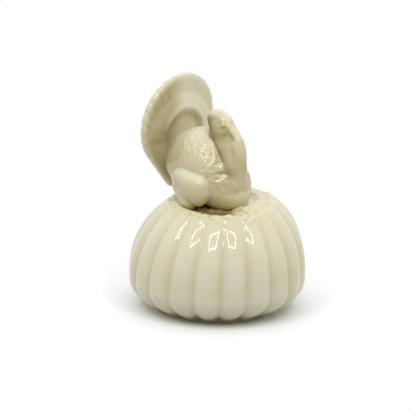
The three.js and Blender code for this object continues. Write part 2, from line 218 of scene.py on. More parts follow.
def place_points(piece, points):
    """Moves a mesh's points."""
    piece.data.vertices.foreach_set("co", np.asarray(points, np.float32).ravel())
    piece.data.update()


def write_layer(mesh, name, values):
    """Gives each of a mesh's points a value under a name."""
    layer = mesh.attributes.new(name, "FLOAT", "POINT")
    layer.data.foreach_set("value", np.asarray(values, np.float32))


def apply_modifier(piece, kind, **settings):
    """Adds a modifier with its settings and applies it."""
    choose(piece)
    modifier = piece.modifiers.new(kind.title(), kind)
    for name, value in settings.items():
        setattr(modifier, name, value)
    bpy.ops.object.modifier_apply(modifier=modifier.name)


def ball(name, segments=48, rings=48):
    """A sphere of radius 1 at the origin, and its points."""
    clear_choice()
    bpy.ops.mesh.primitive_uv_sphere_add(segments=segments, ring_count=rings, radius=1)
    piece = name_new(name)
    return piece, points_of(piece)


def smooth_step(low, high, value):
    """0 below low, 1 above high, and an easy curve between."""
    share = np.clip((value - low) / (high - low), 0, 1)
    return share * share * (3 - 2 * share)


def fade_out(low, high, value):
    """1 below low, 0 above high, and an easy curve between."""
    return 1 - smooth_step(low, high, value)


def ridge(value, middle, width):
    """1 where a value is at the middle, fading to 0 at about the width on both sides."""
    return np.exp(-(((value - middle) / width) ** 2))


def out_to(points, direction):
    """How far each point lies out in a level direction (x, y) of about unit length."""
    return direction[0] * points[:, 0] + direction[1] * points[:, 1]


def wobble(points, length, seed=0.0):
    """A gentle irregularity from -1 to 1 that repeats nowhere near, of about the given length."""
    turns = points / length * 2 * math.pi
    waves = (
        (1.0, 0.31, 0.17, 0.4), (-0.23, 0.93, 0.41, 1.9), (0.37, -0.29, 1.07, 3.1),
        (0.71, 0.83, -0.53, 4.3), (-0.67, 0.59, 0.89, 5.6),
    )
    total = sum(np.sin(turns @ np.array(wave[:3]) + wave[3] + seed) for wave in waves)
    return total / len(waves)


def eased(shares, table, at, width=22):
    """A table's columns at shares of its length, with the corners rounded."""
    fine = np.linspace(0, 1, 401)
    kernel = np.hanning(2 * width + 1)
    kernel /= kernel.sum()
    columns = []
    for column in np.asarray(table, float).T:
        line = np.interp(fine, shares, column)
        before = 2 * line[0] - line[width:0:-1]
        after = 2 * line[-1] - line[-2 : -width - 2 : -1]
        line = np.convolve(np.concatenate([before, line, after]), kernel, "valid")
        columns.append(np.interp(at, fine, line))
    return np.stack(columns, 1)


class Limb:
    """A rounded limb through stations [x, y, z, half width, half depth]. Its width lies along X
    and its depth across its own run."""

    def __init__(self, stations):
        table = np.array(stations, float)
        steps = np.linalg.norm(np.diff(table[:, :3], axis=0), axis=1)
        self.length = steps.sum()
        self.shares = np.concatenate([[0], np.cumsum(steps)]) / self.length
        self.table = table

    def at(self, share):
        """Middles, half widths, half depths, depth directions and runs at shares of the length."""
        rows = eased(self.shares, self.table, share)
        ahead = eased(self.shares, self.table, np.clip(share + 0.01, 0, 1))
        behind = eased(self.shares, self.table, np.clip(share - 0.01, 0, 1))
        run = ahead[:, :3] - behind[:, :3]
        run[:, 0] = 0
        run /= np.linalg.norm(run, axis=1)[:, None]
        deep = np.cross(run, (1, 0, 0))
        return rows[:, :3], rows[:, 3], rows[:, 4], deep, run

    def model(self, name):
        """A sphere drawn out along the limb."""
        piece, unit = ball(name)
        polar = np.arccos(np.clip(unit[:, 2], -1, 1))
        turn = np.arctan2(unit[:, 1], unit[:, 0])
        share = (1 - np.cos(polar)) / 2
        middle, wide, depth, deep, _ = self.at(share)
        first, last = self.table[0, 3:].mean(), self.table[-1, 3:].mean()
        start = np.clip(share * self.length / first, 0, 1)
        end = np.clip((1 - share) * self.length / last, 0, 1)
        full = np.sqrt(1 - (1 - start) ** 2) * np.sqrt(1 - (1 - end) ** 2)
        across = (full * wide * np.cos(turn))[:, None] * np.array((1, 0, 0))
        place_points(piece, middle + across + (full * depth * np.sin(turn))[:, None] * deep)
        return piece

    def measure(self, points):
        """About how far each point stands outside the limb."""
        middle, wide, depth, deep, run = self.at(np.linspace(0.02, 0.98, 32))
        nearest = np.full(len(points), 1.0)
        for m, w, d, direction, way in zip(middle, wide, depth, deep, run):
            gap = points - m
            mean = (w + d) / 2
            size = np.sqrt((gap[:, 0] / w) ** 2 + ((gap @ direction) / d) ** 2 + ((gap @ way) / mean) ** 2)
            nearest = np.minimum(nearest, (size - 1) * mean)
        return nearest


# Heights over the root between which a flared fan's lean settles, and its least thickness
SLOPE_SETTLES = (-4 * MM, 11 * MM)
SLOPE_LEAST = 1.6 * MM


class Fan:
    """A dished fan of feathers, upright and facing forward, round a small root circle. With a
    flare it is a short fan whose slope widens backwards, and leans out to the front at its foot."""

    def __init__(
        self, root, radius, root_radius, rise, thickness, dish, curl, pitch, scallop, riblet,
        flare=0.0, rim=None, lean=0.0,
    ):
        self.root, self.radius, self.root_radius, self.rise = np.array(root), radius, root_radius, rise
        self.thickness, self.dish, self.curl = thickness, dish, curl
        self.scallop, self.riblet = scallop, riblet
        self.flare, self.rim, self.lean = flare, rim or thickness / 2, lean
        self.height = radius + rise + root_radius
        self.tilt = math.asin((radius - root_radius) / rise)
        self.angles = np.linspace(-math.pi / 2, 1.5 * math.pi, 1441)
        reach = self.outline(self.angles)
        edge = np.stack([reach * np.cos(self.angles), reach * np.sin(self.angles)], 1)
        steps = np.linalg.norm(np.diff(edge, axis=0), axis=1)
        self.along = np.concatenate([[0], np.cumsum(steps)])
        self.feathers = 2 * round(self.along[-1] / pitch / 2) + 1

    def outline(self, angle):
        """Reach from the root's centre to the plain outline at an angle from +X towards +Z."""
        across = np.abs(np.cos(angle))
        up = np.sin(angle)
        inside = self.radius**2 - (self.rise * across) ** 2
        circle = self.rise * up + np.sqrt(np.maximum(inside, 0))
        touch = math.atan2(self.rise - self.radius * math.sin(self.tilt), self.radius * math.cos(self.tilt))
        lean = np.arctan2(up, across)
        straight = self.root_radius / np.maximum(np.cos(lean + self.tilt), 0.05)
        reach = np.where(lean > touch, circle, straight)
        return np.where(lean < -self.tilt, self.root_radius, reach)

    def notch(self, angle):
        """1 between two feathers and 0 on the middle of one."""
        wrapped = np.mod(angle + math.pi / 2, 2 * math.pi) - math.pi / 2
        place = np.interp(wrapped, self.angles, self.along) / self.along[-1] * self.feathers
        return 1 - np.abs(np.sin(math.pi * place))

    def upper(self, z):
        """0 at the foot of the fan and 1 from the root's rise up."""
        return np.clip((z + self.root_radius) / self.rise, 0, 1)

    def bend(self, z):
        """How far a height above the root leans forward."""
        return self.curl * np.maximum(z / self.height + 0.15, 0) ** 2

    def sunk(self, level, z, back):
        """How far the face lies behind its rim, at a share of the reach and a height."""
        if not self.flare:
            return self.dish * (1 - level**2)
        settled = self.lean * fade_out(*SLOPE_SETTLES, z)
        sink = self.dish * fade_out(0.8, 0.97, level) + settled
        return np.minimum(sink, self.thickness - SLOPE_LEAST) * (1 - back)

    def model(self, name, segments=240, rings=56):
        """A sphere flattened and drawn out to the fan, its poles in the middle of face and back."""
        piece, unit = ball(name, segments, rings)
        polar = np.arccos(np.clip(unit[:, 2], -1, 1)) / (math.pi / 2)
        angle = np.arctan2(unit[:, 1], unit[:, 0])
        facing = np.where(polar <= 1, 1.0, -1.0)
        share = np.where(polar <= 1, polar, 2 - polar)
        half, rim = self.thickness / 2, self.rim
        plain = self.outline(angle)
        flat, side = plain - rim, half - rim
        reach = share * (flat + rim * math.pi / 2 + side)
        turn = np.clip((reach - flat) / rim, 0, math.pi / 2)
        out = np.where(reach < flat, reach, flat + rim * np.sin(turn))
        deep = side + rim * np.cos(turn) - np.maximum(reach - flat - rim * math.pi / 2, 0)
        level = out / plain
        upper = self.upper(out * np.sin(angle))
        back = np.clip((half - facing * deep) / self.thickness, 0, 1)
        wide = self.flare * back * level
        edge = level**4 * (1 - back if self.flare else 1)
        out = out - edge * self.scallop * self.notch(angle) ** 1.5 * upper + wide * upper
        x, z = out * np.cos(angle), out * np.sin(angle)
        riblet = self.riblet * self.notch(angle) ** 2 * smooth_step(0.25, 0.8, level) * upper
        y = half + self.sunk(level, z, back) - facing * (deep - riblet) - self.bend(z)
        place_points(piece, np.stack([x, y, z], 1) + self.root)
        return piece

    def front(self, points):
        """The share of the reach at each point, and y of the face there."""
        x, z = points[:, 0] - self.root[0], points[:, 2] - self.root[2]
        level = np.hypot(x, z) / self.outline(np.arctan2(z, x))
        face = self.root[1] + self.dish * (1 - np.minimum(level, 1) ** 2) - self.bend(z)
        return level, face

    def beyond(self, points):
        """How far each point lies outside the fan's flared outline, seen from the front."""
        x, z = points[:, 0] - self.root[0], points[:, 2] - self.root[2]
        return np.hypot(x, z) - self.outline(np.arctan2(z, x)) - self.flare


# Pumpkin

# Level directions (x, y) from the seat: past the right wing, past the breast, and to the bird's left
PAST_WING = (-0.74, -0.68)
PAST_BREAST = (0.68, -0.74)
TO_LEFT = (1, 0)

# How squarely the side bulges from the belly to the shoulder, up and outwards, and to the foot
SIDE_POWER, ROUND_POWER, UNDER_POWER = 2.11, 2.12, 2.7
DIP_FILL = 2.8 * MM  # how much slip fills the dip before the breast
RIB_ROUND = 0.08  # how much a rib's crest is rounded over
RIB_SWAY = 0.012  # how far the ribs wander round the pumpkin, in radians
SKIN_WOBBLE = 0.12 * MM  # how uneven the skin is
# Lengths of the unevenness of the skin, the ribs, the lip's roll and the lip's glaze, and of lumps
SKIN_LENGTH, SWAY_LENGTH, ROLL_LENGTH, BLOT_LENGTH = 34 * MM, 60 * MM, 6 * MM, 3.3 * MM
COARSE_LUMP, FINE_LUMP = 4.2 * MM, 2.8 * MM
# The rolled edge before the bird's right wing, and how far inside the crest it lies
ROLL_HEIGHT, ROLL_WIDTH, ROLL_INSIDE = 0.7 * MM, 0.65 * MM, 1.2 * MM
# Bands of the distance from the axis over which the lip begins and ends and the dip ends
LIP_FROM, LIP_TO, DIP_TO = (10 * MM, 15 * MM), (20 * MM, 26 * MM), (13 * MM, 18 * MM)
CROWN_FROM = (20 * MM, 42 * MM)  # heights over which the side takes on the crown's sag and rise
GROOVE_LIFT = 1.3 * MM  # how much higher the grooves stop above the table
# The second height is how far up the painted contact shadow at the foot fades.
HEM_HEIGHT, HEM_SHADOW_HEIGHT = 5 * MM, 1.2 * MM  # over which the hem and its glaze fade
# How deep the glaze lies at the hem, in the dip, on the lip and in the grooves. At the hem this paints the
# contact shadow on the foot, in the dip the shadow under the bird, and in the grooves darker lines: painted
# shade, partly glaze gathered there.
HEM_SHADOW_AND_GLAZE, DIP_SHADE_AND_GLAZE, LIP_GLAZE, GROOVE_SHADE_AND_GLAZE = 1.1 * MM, 0.6 * MM, 0.6 * MM, 0.04 * MM
# Points along the cut's outside, closer together in the crown's share of it, and round each rib
POINTS_IN_CROWN, POINTS_BELOW, CROWN_SHARE, STEPS_PER_RIB = 54, 66, 0.27, 24


def side_radius(sizes, z):
    """The pumpkin's radius at a height, on top of its ribs."""
    radius, foot = sizes.diameter / 2, sizes.foot_diameter / 2
    if z < sizes.belly_height:
        return foot + (radius - foot) * (1 - (1 - z / sizes.belly_height) ** UNDER_POWER)
    up = (z - sizes.belly_height) / (sizes.shoulder_height - sizes.belly_height)
    rise = (1 - (sizes.shoulder_diameter / 2 / radius) ** ROUND_POWER) ** (1 / SIDE_POWER) * up
    return radius * (1 - rise**SIDE_POWER) ** (1 / ROUND_POWER)


def forward_at(sizes, z):
    """How far the ring at a height is set forward."""
    up = np.maximum((z - sizes.belly_height) / (SEAT_HEIGHT - sizes.belly_height), 0)
    return sizes.crown_forward * up**1.5


def crown_rows(sizes):
    """From the seat out to the shoulder: radius, height and rib depth."""
    crest, seat = sizes.crest_diameter / 2, sizes.seat_diameter / 2
    shoulder = sizes.shoulder_diameter / 2
    dip = sizes.crest_height - SEAT_HEIGHT
    over = sizes.crest_height - sizes.shoulder_height
    depth = sizes.rib_depth
    return [
        (seat * 0.6, SEAT_HEIGHT, 0.0),
        (seat, SEAT_HEIGHT, 0.0),
        (crest + (seat - crest) * 0.75, SEAT_HEIGHT + dip * 0.15, 0.0),
        (crest + (seat - crest) * 0.35, SEAT_HEIGHT + dip * 0.72, depth * 0.05),
        (crest, sizes.crest_height, depth * 0.15),
        (crest + (shoulder - crest) * 0.55, sizes.shoulder_height + over * 0.72, depth * 0.24),
        (shoulder, sizes.shoulder_height, depth * 0.34),
    ]


def crown_lift(sizes, points):
    """How far the soft lip of the crown sagged or stood up at each point, and slip filled its dip."""
    reach = np.maximum(np.hypot(points[:, 0], points[:, 1]), MM)
    seat, crest = sizes.seat_diameter / 2, sizes.crest_diameter / 2
    lip = smooth_step(seat, crest, reach)
    past_wing = smooth_step(0.0, 1.0, out_to(points, PAST_WING) / reach)
    on_left = smooth_step(0.2, 0.95, out_to(points, TO_LEFT) / reach)
    past_breast = smooth_step(0.1, 0.7, out_to(points, PAST_BREAST) / reach)
    filled = smooth_step(seat - 6 * MM, seat - 2 * MM, reach) * fade_out(seat + MM, crest, reach)
    return lip * (sizes.lip_rise * on_left - sizes.lip_sag * past_wing) + DIP_FILL * filled * past_breast


def crown_height(sizes, points):
    """Height of the pumpkin's crown under each point, and far below where there is none."""
    rows = np.array(crown_rows(sizes))
    reach = np.hypot(points[:, 0], points[:, 1] + sizes.crown_forward)
    height = np.interp(reach, rows[:, 0], rows[:, 1]) + crown_lift(sizes, points)
    return np.where(reach > rows[-1, 0], -1.0, height)


def outside_outline(sizes):
    """The cut's outside from the seat over crown and side to the foot: radius, height, rib depth."""
    rows = crown_rows(sizes)
    depth, belly = sizes.rib_depth, sizes.belly_height
    steps = 34
    for i in range(1, steps + 1):
        up = math.cos(i / steps * math.pi / 2)
        z = belly + (sizes.shoulder_height - belly) * up
        rows.append((side_radius(sizes, z), z, depth * (1 - 0.68 * up**3)))
    steps = 22
    for i in range(1, steps + 1):
        z = belly * (1 - math.sin(i / steps * math.pi / 2) * 0.985)
        rows.append((side_radius(sizes, z), z, depth * (0.5 + 0.5 * z / belly)))
    table = np.array(rows)
    run = np.concatenate([[0], np.cumsum(np.linalg.norm(np.diff(table[:, :2], axis=0), axis=1))])
    places = np.concatenate([
        np.linspace(0, CROWN_SHARE, POINTS_IN_CROWN, endpoint=False),
        np.linspace(CROWN_SHARE, 1, POINTS_BELOW),
    ])
    return eased(run / run[-1], table, places, width=5)


def inside_outline(sizes):
    """The cut's inside from the foot ring through the kiln vent and the hollow up to the bird's vent."""
    foot, recess, start = sizes.foot_diameter / 2, sizes.foot_recess, sizes.belly_height * 0.7
    ring = foot - sizes.foot_width
    floor, roof = recess + sizes.wall, SEAT_HEIGHT - sizes.wall
    vent, hole = sizes.kiln_vent / 2, sizes.bird_vent / 2
    thin = sizes.rib_depth + sizes.wall
    rows = [
        (foot - sizes.foot_width / 5, 0.0), (foot - sizes.foot_width * 0.8, 0.0), (ring, recess * 0.3),
        (ring, recess), (vent * 1.1, recess), (vent, recess * 1.2), (vent, floor), (ring, floor),
    ]
    steps = 8
    for i in range(steps + 1):
        z = start + (roof - start) * 0.92 * math.sin(i / steps * math.pi / 2)
        rows.append((side_radius(sizes, z) - thin - forward_at(sizes, z), z))
    rows += [
        (sizes.seat_diameter / 2, roof), (hole, roof), (hole, SEAT_HEIGHT - JOINT_GAP),
        (hole * 1.1, SEAT_HEIGHT),
    ]
    return [(radius, z, 0.0) for radius, z in rows]


def spin_wall(sizes):
    """The pumpkin's wall, spun smooth from its cut. Each point keeps its rib depth."""
    loop = np.concatenate([outside_outline(sizes), inside_outline(sizes)])
    clear_choice()
    bpy.ops.mesh.primitive_circle_add(vertices=len(loop), radius=sizes.diameter / 2, fill_type="NOTHING")
    piece = name_new("glazed_pumpkin")
    place_points(piece, np.stack([loop[:, 0], np.zeros(len(loop)), loop[:, 1]], 1))
    write_layer(piece.data, "rib", loop[:, 2])
    turns = STEPS_PER_RIB * sizes.rib_count
    apply_modifier(
        piece, "SCREW", angle=2 * math.pi, steps=turns, render_steps=turns, screw_offset=0,
        use_merge_vertices=True, merge_threshold=0.02 * MM,
    )
    bpy.ops.object.mode_set(mode="EDIT")
    bpy.ops.mesh.select_all(action="SELECT")
    bpy.ops.mesh.normals_make_consistent(inside=False)
    bpy.ops.object.mode_set(mode="OBJECT")
    return piece


def model_pumpkin(sizes):
    """The pumpkin's wall with its ribs pressed in, its lip rolled and lumpy, and its glaze, with painted
    shade at the foot, in the dip under the bird, in the grooves and in hollows.
    """
    piece = spin_wall(sizes)
    points = points_of(piece)
    depth = np.empty(len(points), np.float32)
    piece.data.attributes["rib"].data.foreach_get("value", depth)
    reach, z = np.hypot(points[:, 0], points[:, 1]), points[:, 2]
    away = np.maximum(reach, MM)
    foot, on_top = sizes.foot_diameter / 2, z > SEAT_HEIGHT - MM

    angle = np.arctan2(points[:, 0], -points[:, 1]) + RIB_SWAY * wobble(points, SWAY_LENGTH)
    level = np.minimum(np.sqrt(np.cos(angle * sizes.rib_count / 2) ** 2 + RIB_ROUND**2), 1)
    groove, from_crest = 1 - level, np.arccos(level) / (math.pi / 2)
    uneven = np.where(depth > 0, SKIN_WOBBLE * wobble(points, SKIN_LENGTH, 2.0) - SKIN_WOBBLE, 0)
    out = (reach - depth * from_crest**2.1 + uneven) / away
    drop = np.where(z > sizes.belly_height, depth * groove * z / sizes.crest_height / 3, 0)

    lip = smooth_step(*LIP_FROM, reach) * fade_out(*LIP_TO, reach) * on_top
    in_front = smooth_step(0.3, 0.9, out_to(points, PAST_WING) / away)
    coarse, fine = wobble(points, COARSE_LUMP, 1.0), wobble(points, FINE_LUMP, 3.0)
    lumps = MM * lip * (0.4 * coarse + 0.38 * in_front * fine - 0.12)
    roll = ridge(reach, sizes.crest_diameter / 2 - ROLL_INSIDE, ROLL_WIDTH) * (z > SEAT_HEIGHT + MM)
    lumps += ROLL_HEIGHT * in_front * roll * (0.5 + 0.9 * wobble(points, ROLL_LENGTH, 5.0))

    hem = smooth_step(foot, foot + 1.5 * MM, reach) * np.exp(-z / HEM_HEIGHT)
    hem *= sizes.underside_lift * (1 + 0.4 * out_to(points, PAST_BREAST) / foot) + GROOVE_LIFT * groove**1.5
    lift = crown_lift(sizes, points) * smooth_step(*CROWN_FROM, z)
    y = points[:, 1] * out - forward_at(sizes, z)
    place_points(piece, np.stack([points[:, 0] * out, y, z - drop + lumps + hem + lift], 1))

    past_breast = smooth_step(0.2, 0.7, out_to(points, PAST_BREAST) / away)
    dip = fade_out(*DIP_TO, reach) * (1 - past_breast) * on_top
    # Painted shade: the contact shadow at the foot, the shadow in the dip under the bird, and darker grooves
    # and hollows, partly glaze gathered there. The lip's blots are glaze.
    hem_shadow = np.exp(-z / HEM_SHADOW_HEIGHT) * (1 - 0.6 * smooth_step(foot, foot + 6 * MM, reach))
    glaze_and_shade = 0.18 * hollow_depth(piece, 60) + DIP_SHADE_AND_GLAZE * dip
    glaze_and_shade += np.where(depth > 0, GROOVE_SHADE_AND_GLAZE * groove**6 + HEM_SHADOW_AND_GLAZE * hem_shadow, 0)
    glaze_and_shade += LIP_GLAZE * lip * in_front * np.maximum(wobble(points, BLOT_LENGTH, 4.0) - 0.1, 0)
    write_layer(piece.data, "glaze_and_shade", glaze_and_shade)
    return piece


# Turkey

# The body's own sizes, as its node has them
BODY_HEIGHT = 31 * MM
BODY_LENGTH = 37.4 * MM
BODY_WIDTH = float(BIRD_HIGH[0] - BIRD_LOW[0])
BODY_FRONT = -12.8 * MM


def body_y(share):
    """A share of the body's length, from the breast back."""
    return BODY_FRONT + share * BODY_LENGTH


def body_z(share):
    """A share of the body's height, from the seat up."""
    return SEAT_HEIGHT + share * BODY_HEIGHT


# Each row: shares of the length, of the height for underside and back, of the width for half width
BODY_SHARES = (
    (0.0, 0.12, 0.4, 0.14), (0.04, 0.0, 0.46, 0.28), (0.12, -0.07, 0.54, 0.37), (0.24, -0.07, 0.65, 0.43),
    (0.38, -0.04, 0.83, 0.48), (0.5, -0.04, 0.95, 0.5), (0.62, -0.02, 1.01, 0.475), (0.73, 0.03, 0.94, 0.43),
    (0.84, 0.1, 0.79, 0.385), (0.93, 0.16, 0.63, 0.34), (1.0, 0.2, 0.5, 0.28),
)

# Each row: shares of the way back, out and up, and of the two half thicknesses
WING_LENGTH, WING_HEIGHT, WING_THICKNESS = 20 * MM, 15.4 * MM, 9 * MM
WING_FRONT, WING_SPREAD, WING_MIDDLE = -4.8 * MM, 12 * MM, SEAT_HEIGHT + 7.8 * MM
WING_SHARES = (
    (0.0, 0.94, -0.04, 0.3, 0.27), (0.05, 0.97, -0.03, 0.38, 0.34), (0.18, 1.0, 0.0, 0.45, 0.395),
    (0.32, 1.03, 0.06, 0.48, 0.4), (0.46, 1.03, 0.16, 0.47, 0.34), (0.62, 1.0, 0.25, 0.42, 0.27),
    (0.8, 0.96, 0.24, 0.36, 0.25), (0.94, 0.9, 0.2, 0.28, 0.2), (1.0, 0.86, 0.18, 0.12, 0.12),
)

# Each row: shares of the way down, back and out, and of the two half thicknesses
TIP_LENGTH, TIP_WIDTH, TIP_THICKNESS = 13 * MM, 8.6 * MM, 7 * MM
TIP_TOP = WING_MIDDLE + WING_HEIGHT * 0.3
TIP_SHARES = (
    (0.0, 0.82, 0.9, 0.32, 0.4), (0.29, 0.77, 0.94, 0.45, 0.45), (0.47, 0.64, 0.98, 0.5, 0.48),
    (0.68, 0.515, 1.02, 0.5, 0.46), (0.91, 0.47, 1.04, 0.48, 0.48), (1.0, 0.465, 1.04, 0.46, 0.46),
)

# Each row: shares of the spans back and up, and of the width and the depth
NECK_WIDTH, NECK_DEPTH = 11 * MM, 11 * MM
NECK_SHARES = (
    (0.155, 0.339, 0.46, 0.4), (0.128, 0.519, 0.5, 0.48), (0.166, 0.632, 0.51, 0.52),
    (0.22, 0.774, 0.51, 0.54), (0.262, 0.89, 0.51, 0.54), (0.32, 1.006, 0.47, 0.51),
    (0.366, 1.097, 0.4, 0.44), (0.412, 1.194, 0.32, 0.32),
)
HEAD_LENGTH, HEAD_WIDTH, HEAD_HEIGHT = 12.5 * MM, 7.4 * MM, 7.4 * MM
HEAD_SHARES = (
    (0.504, 0.01, 0.3, 0.34), (0.4, 0.02, 0.44, 0.48), (0.24, 0.03, 0.5, 0.55), (0.048, 0.0, 0.5, 0.57),
    (-0.16, -0.15, 0.5, 0.53), (-0.384, -0.5, 0.43, 0.43), (-0.544, -0.77, 0.32, 0.32),
)
BEAK_AHEAD, BEAK_DOWN, BEAK_WIDTH = 3.456 * MM, 2.976 * MM, 4.4 * MM
BEAK_SHARES = ((0, 0, 0.5, 0.5), (0.45, 0.45, 0.4, 0.42), (0.85, 0.85, 0.24, 0.26), (1, 1, 0.1, 0.12))
SNOOD_WIDTH, SNOOD_THICKNESS = 4.4 * MM, 2.6 * MM
SNOOD_SHARES = (
    (0.134, 0.535, 0.3, 0.4), (-0.058, 0.413, 0.46, 0.5), (-0.282, 0.089, 0.5, 0.5),
    (-0.458, -0.263, 0.5, 0.5), (-0.652, -0.577, 0.5, 0.5), (-0.83, -0.9, 0.5, 0.5),
    (-0.87, -1.186, 0.46, 0.46), (-0.864, -1.36, 0.24, 0.28),
)
WATTLE_WIDTH, WATTLE_THICKNESS = 7.2 * MM, 4.8 * MM
WATTLE_SHARES = (
    (0.115, 0.94, 0.4, 0.42), (0.09, 0.874, 0.43, 0.5), (0.072, 0.81, 0.45, 0.54),
    (0.064, 0.713, 0.46, 0.56), (0.064, 0.584, 0.48, 0.54), (0.068, 0.471, 0.48, 0.47),
    (0.095, 0.38, 0.46, 0.35), (0.14, 0.3, 0.38, 0.22),
)

# Where the shares start, as y and z, and the spans that they are shares of
BODY_ROOT, BODY_SPANS = (BODY_FRONT, SEAT_HEIGHT), (BODY_LENGTH, BODY_HEIGHT)
HEAD_ROOT, HEAD_SPANS = (body_y(0.342), body_z(1.132)), (HEAD_LENGTH, HEAD_HEIGHT)
BEAK_ROOT = tuple(start + share * span for start, share, span in zip(HEAD_ROOT, HEAD_SHARES[-1], HEAD_SPANS))

# Stations of the soft clay between the parts, in millimetres: x, y, z, half width, half depth.
# The cape's are those of the bird's left side.
THROAT = (
    (0, -2.6, 75, 2.6, 2.6), (0, -6, 71.8, 2.7, 2.8), (0, -8.4, 69.2, 2.5, 2.4), (0, -9.4, 66.6, 2.2, 1.8),
)
CROP = (
    (0, -9.6, 59.5, 3.2, 2.5), (0, -9.7, 55.8, 4.6, 3), (0, -9.2, 51.8, 6.3, 3.7), (0, -8.2, 47.6, 7.6, 4.2),
)
CAPE = (
    (4.6, 1.6, 68.4, 0.5, 0.5), (5.6, -1.2, 66, 0.8, 0.8), (6.3, -3.2, 64, 0.9, 0.9),
    (7.2, -3.9, 61.8, 0.9, 0.9), (8.2, -3.4, 60, 0.5, 0.5),
)


def middle_limb(shares, root, spans, width, depth):
    """A limb in the bird's middle plane, from a table of shares."""
    return Limb([
        (0, root[0] + along * spans[0], root[1] + up * spans[1], half_width * width, half_depth * depth)
        for along, up, half_width, half_depth in shares
    ])


def body_limb():
    """The body from breast to tail."""
    return Limb([
        (0, body_y(along), (body_z(low) + body_z(high)) / 2, half * BODY_WIDTH,
         (high - low) / 2 * BODY_HEIGHT)
        for along, low, high, half in BODY_SHARES
    ])


def wing_limb(side):
    """The folded wing's lobe."""
    return Limb([
        (side * out * WING_SPREAD, WING_FRONT + along * WING_LENGTH, WING_MIDDLE + up * WING_HEIGHT,
         half_out * WING_THICKNESS, half_up * WING_HEIGHT)
        for along, out, up, half_out, half_up in WING_SHARES
    ])


def tip_limb(side):
    """The long feathers that droop behind the wing."""
    return Limb([
        (side * out * WING_SPREAD, WING_FRONT + along * WING_LENGTH, TIP_TOP - down * TIP_LENGTH,
         half_out * TIP_THICKNESS, half_along * TIP_WIDTH)
        for down, along, out, half_out, half_along in TIP_SHARES
    ])


def neck_limb():
    """The neck from the breast up."""
    return middle_limb(NECK_SHARES, BODY_ROOT, BODY_SPANS, NECK_WIDTH, NECK_DEPTH)


def head_limb():
    """The head from its back to the beak's root."""
    return middle_limb(HEAD_SHARES, HEAD_ROOT, HEAD_SPANS, HEAD_WIDTH, HEAD_HEIGHT)


def beak_limb():
    """The beak, ahead of the head and down."""
    return middle_limb(BEAK_SHARES, BEAK_ROOT, (-BEAK_AHEAD, -BEAK_DOWN), BEAK_WIDTH, BEAK_WIDTH)


def snood_limb():
    """The snood from the forehead down over the beak."""
    return middle_limb(SNOOD_SHARES, HEAD_ROOT, HEAD_SPANS, SNOOD_WIDTH, SNOOD_THICKNESS)


def wattle_limb():
    """The wattle from the throat down to the breast."""
    return middle_limb(WATTLE_SHARES, BODY_ROOT, BODY_SPANS, WATTLE_WIDTH, WATTLE_THICKNESS)


def throat_limb():
    """The soft face between snood, beak and neck."""
    return Limb(np.array(THROAT) * MM)


def crop_limb():
    """The crop, where the wattle runs out on the breast."""
    return Limb(np.array(CROP) * MM)


def cape_edge(side):
    """The raised edge of the back feathers, from the nape down beside the neck."""
    return Limb(np.array(CAPE) * MM * (side, 1, 1, 1, 1))


FAN_THICKNESS = 3.6 * MM
FAN_Y = body_y(1) - FAN_THICKNESS / 4 + JOINT_GAP


def tail_fan(sizes):
    """The big fan."""
    return Fan(
        root=(0, FAN_Y, SEAT_HEIGHT + 7.8 * MM), radius=20 * MM, root_radius=4.6 * MM, rise=23.4 * MM,
        thickness=FAN_THICKNESS, dish=-1.5 * MM, curl=4.4 * MM, pitch=sizes.feather_width,
        scallop=sizes.scallop_depth, riblet=sizes.riblet_depth,
    )


def tail_coverts():
    """The short feathers in front of the fan."""
    return Fan(
        root=(0, FAN_Y - 4.8 * MM, SEAT_HEIGHT + 20.2 * MM), radius=11 * MM, root_radius=7.5 * MM,
        rise=6.4 * MM, thickness=2 * MM + FAN_THICKNESS / 2, dish=2 * MM, curl=1.4 * MM, pitch=3.9 * MM,
        scallop=0.8 * MM, riblet=0, flare=9 * MM, rim=0.7 * MM, lean=4.8 * MM,
    )


# Short feathers over the back, and how far over its row each one reaches
SCALE_LENGTH, SCALE_WIDTH, SCALE_REACH = 2.6 * MM, 3.2 * MM, 1.55
BACK_RADIUS = 14 * MM
BACK_MIDDLE = (body_y(0.45), body_z(0.45))

# Bands over which one look eases into the next. Heights from the table:
OVER_SEAT, NECK_FOOT, BREAST_TOP = (45 * MM, 48 * MM), (56 * MM, 60 * MM), (57 * MM, 61 * MM)
SHOULDERS, THROAT_FOOT, NAPE = (58 * MM, 62 * MM), (60 * MM, 66 * MM), (68 * MM, 71 * MM)
HEAD_FOOT, COVERT_TOP = (68 * MM, 72 * MM), (70 * MM, 76 * MM)
# Distances back from the seat's middle:
BREAST_BACK, RUMP = (-9 * MM, -4 * MM), (7 * MM, 10 * MM)
BACK_END, TAIL_ROOT = (9 * MM, 14 * MM), (13 * MM, 16 * MM)
# Distances out from the middle plane:
OFF_MIDDLE, BESIDE_NECK, ON_WING = (1.5 * MM, 3 * MM), (3 * MM, 5 * MM), (12 * MM, 14 * MM)

# Spots on the bird's sides, as y and z in millimetres
PIT, EYE = (-6.0, 71.7), (-4.0, 75.3)
BREAST_HOLLOW, THIGH = (-9.6, 57.2), (-7.0, 54.0)

# Lines on the bird's sides, through such places: the cape's edge beside the neck, the hollow in
# front of it, the crease over the thigh, and the crease between the wing's long feathers
CAPE_LINE = ((0.8, 69.0), (-1.0, 67.0), (-3.0, 64.4), (-4.2, 61.8), (-3.6, 60.0))
NECK_LINE = ((-0.6, 69.4), (-2.6, 67.0), (-4.8, 64.2), (-6.2, 61.4))
THIGH_LINE = ((-2.9, 55.6), (-5.5, 57.2), (-8.6, 57.4))
WING_LINE = ((9.5, 52.5), (6.3, 51.0), (3.5, 48.0), (1.2, 44.3))

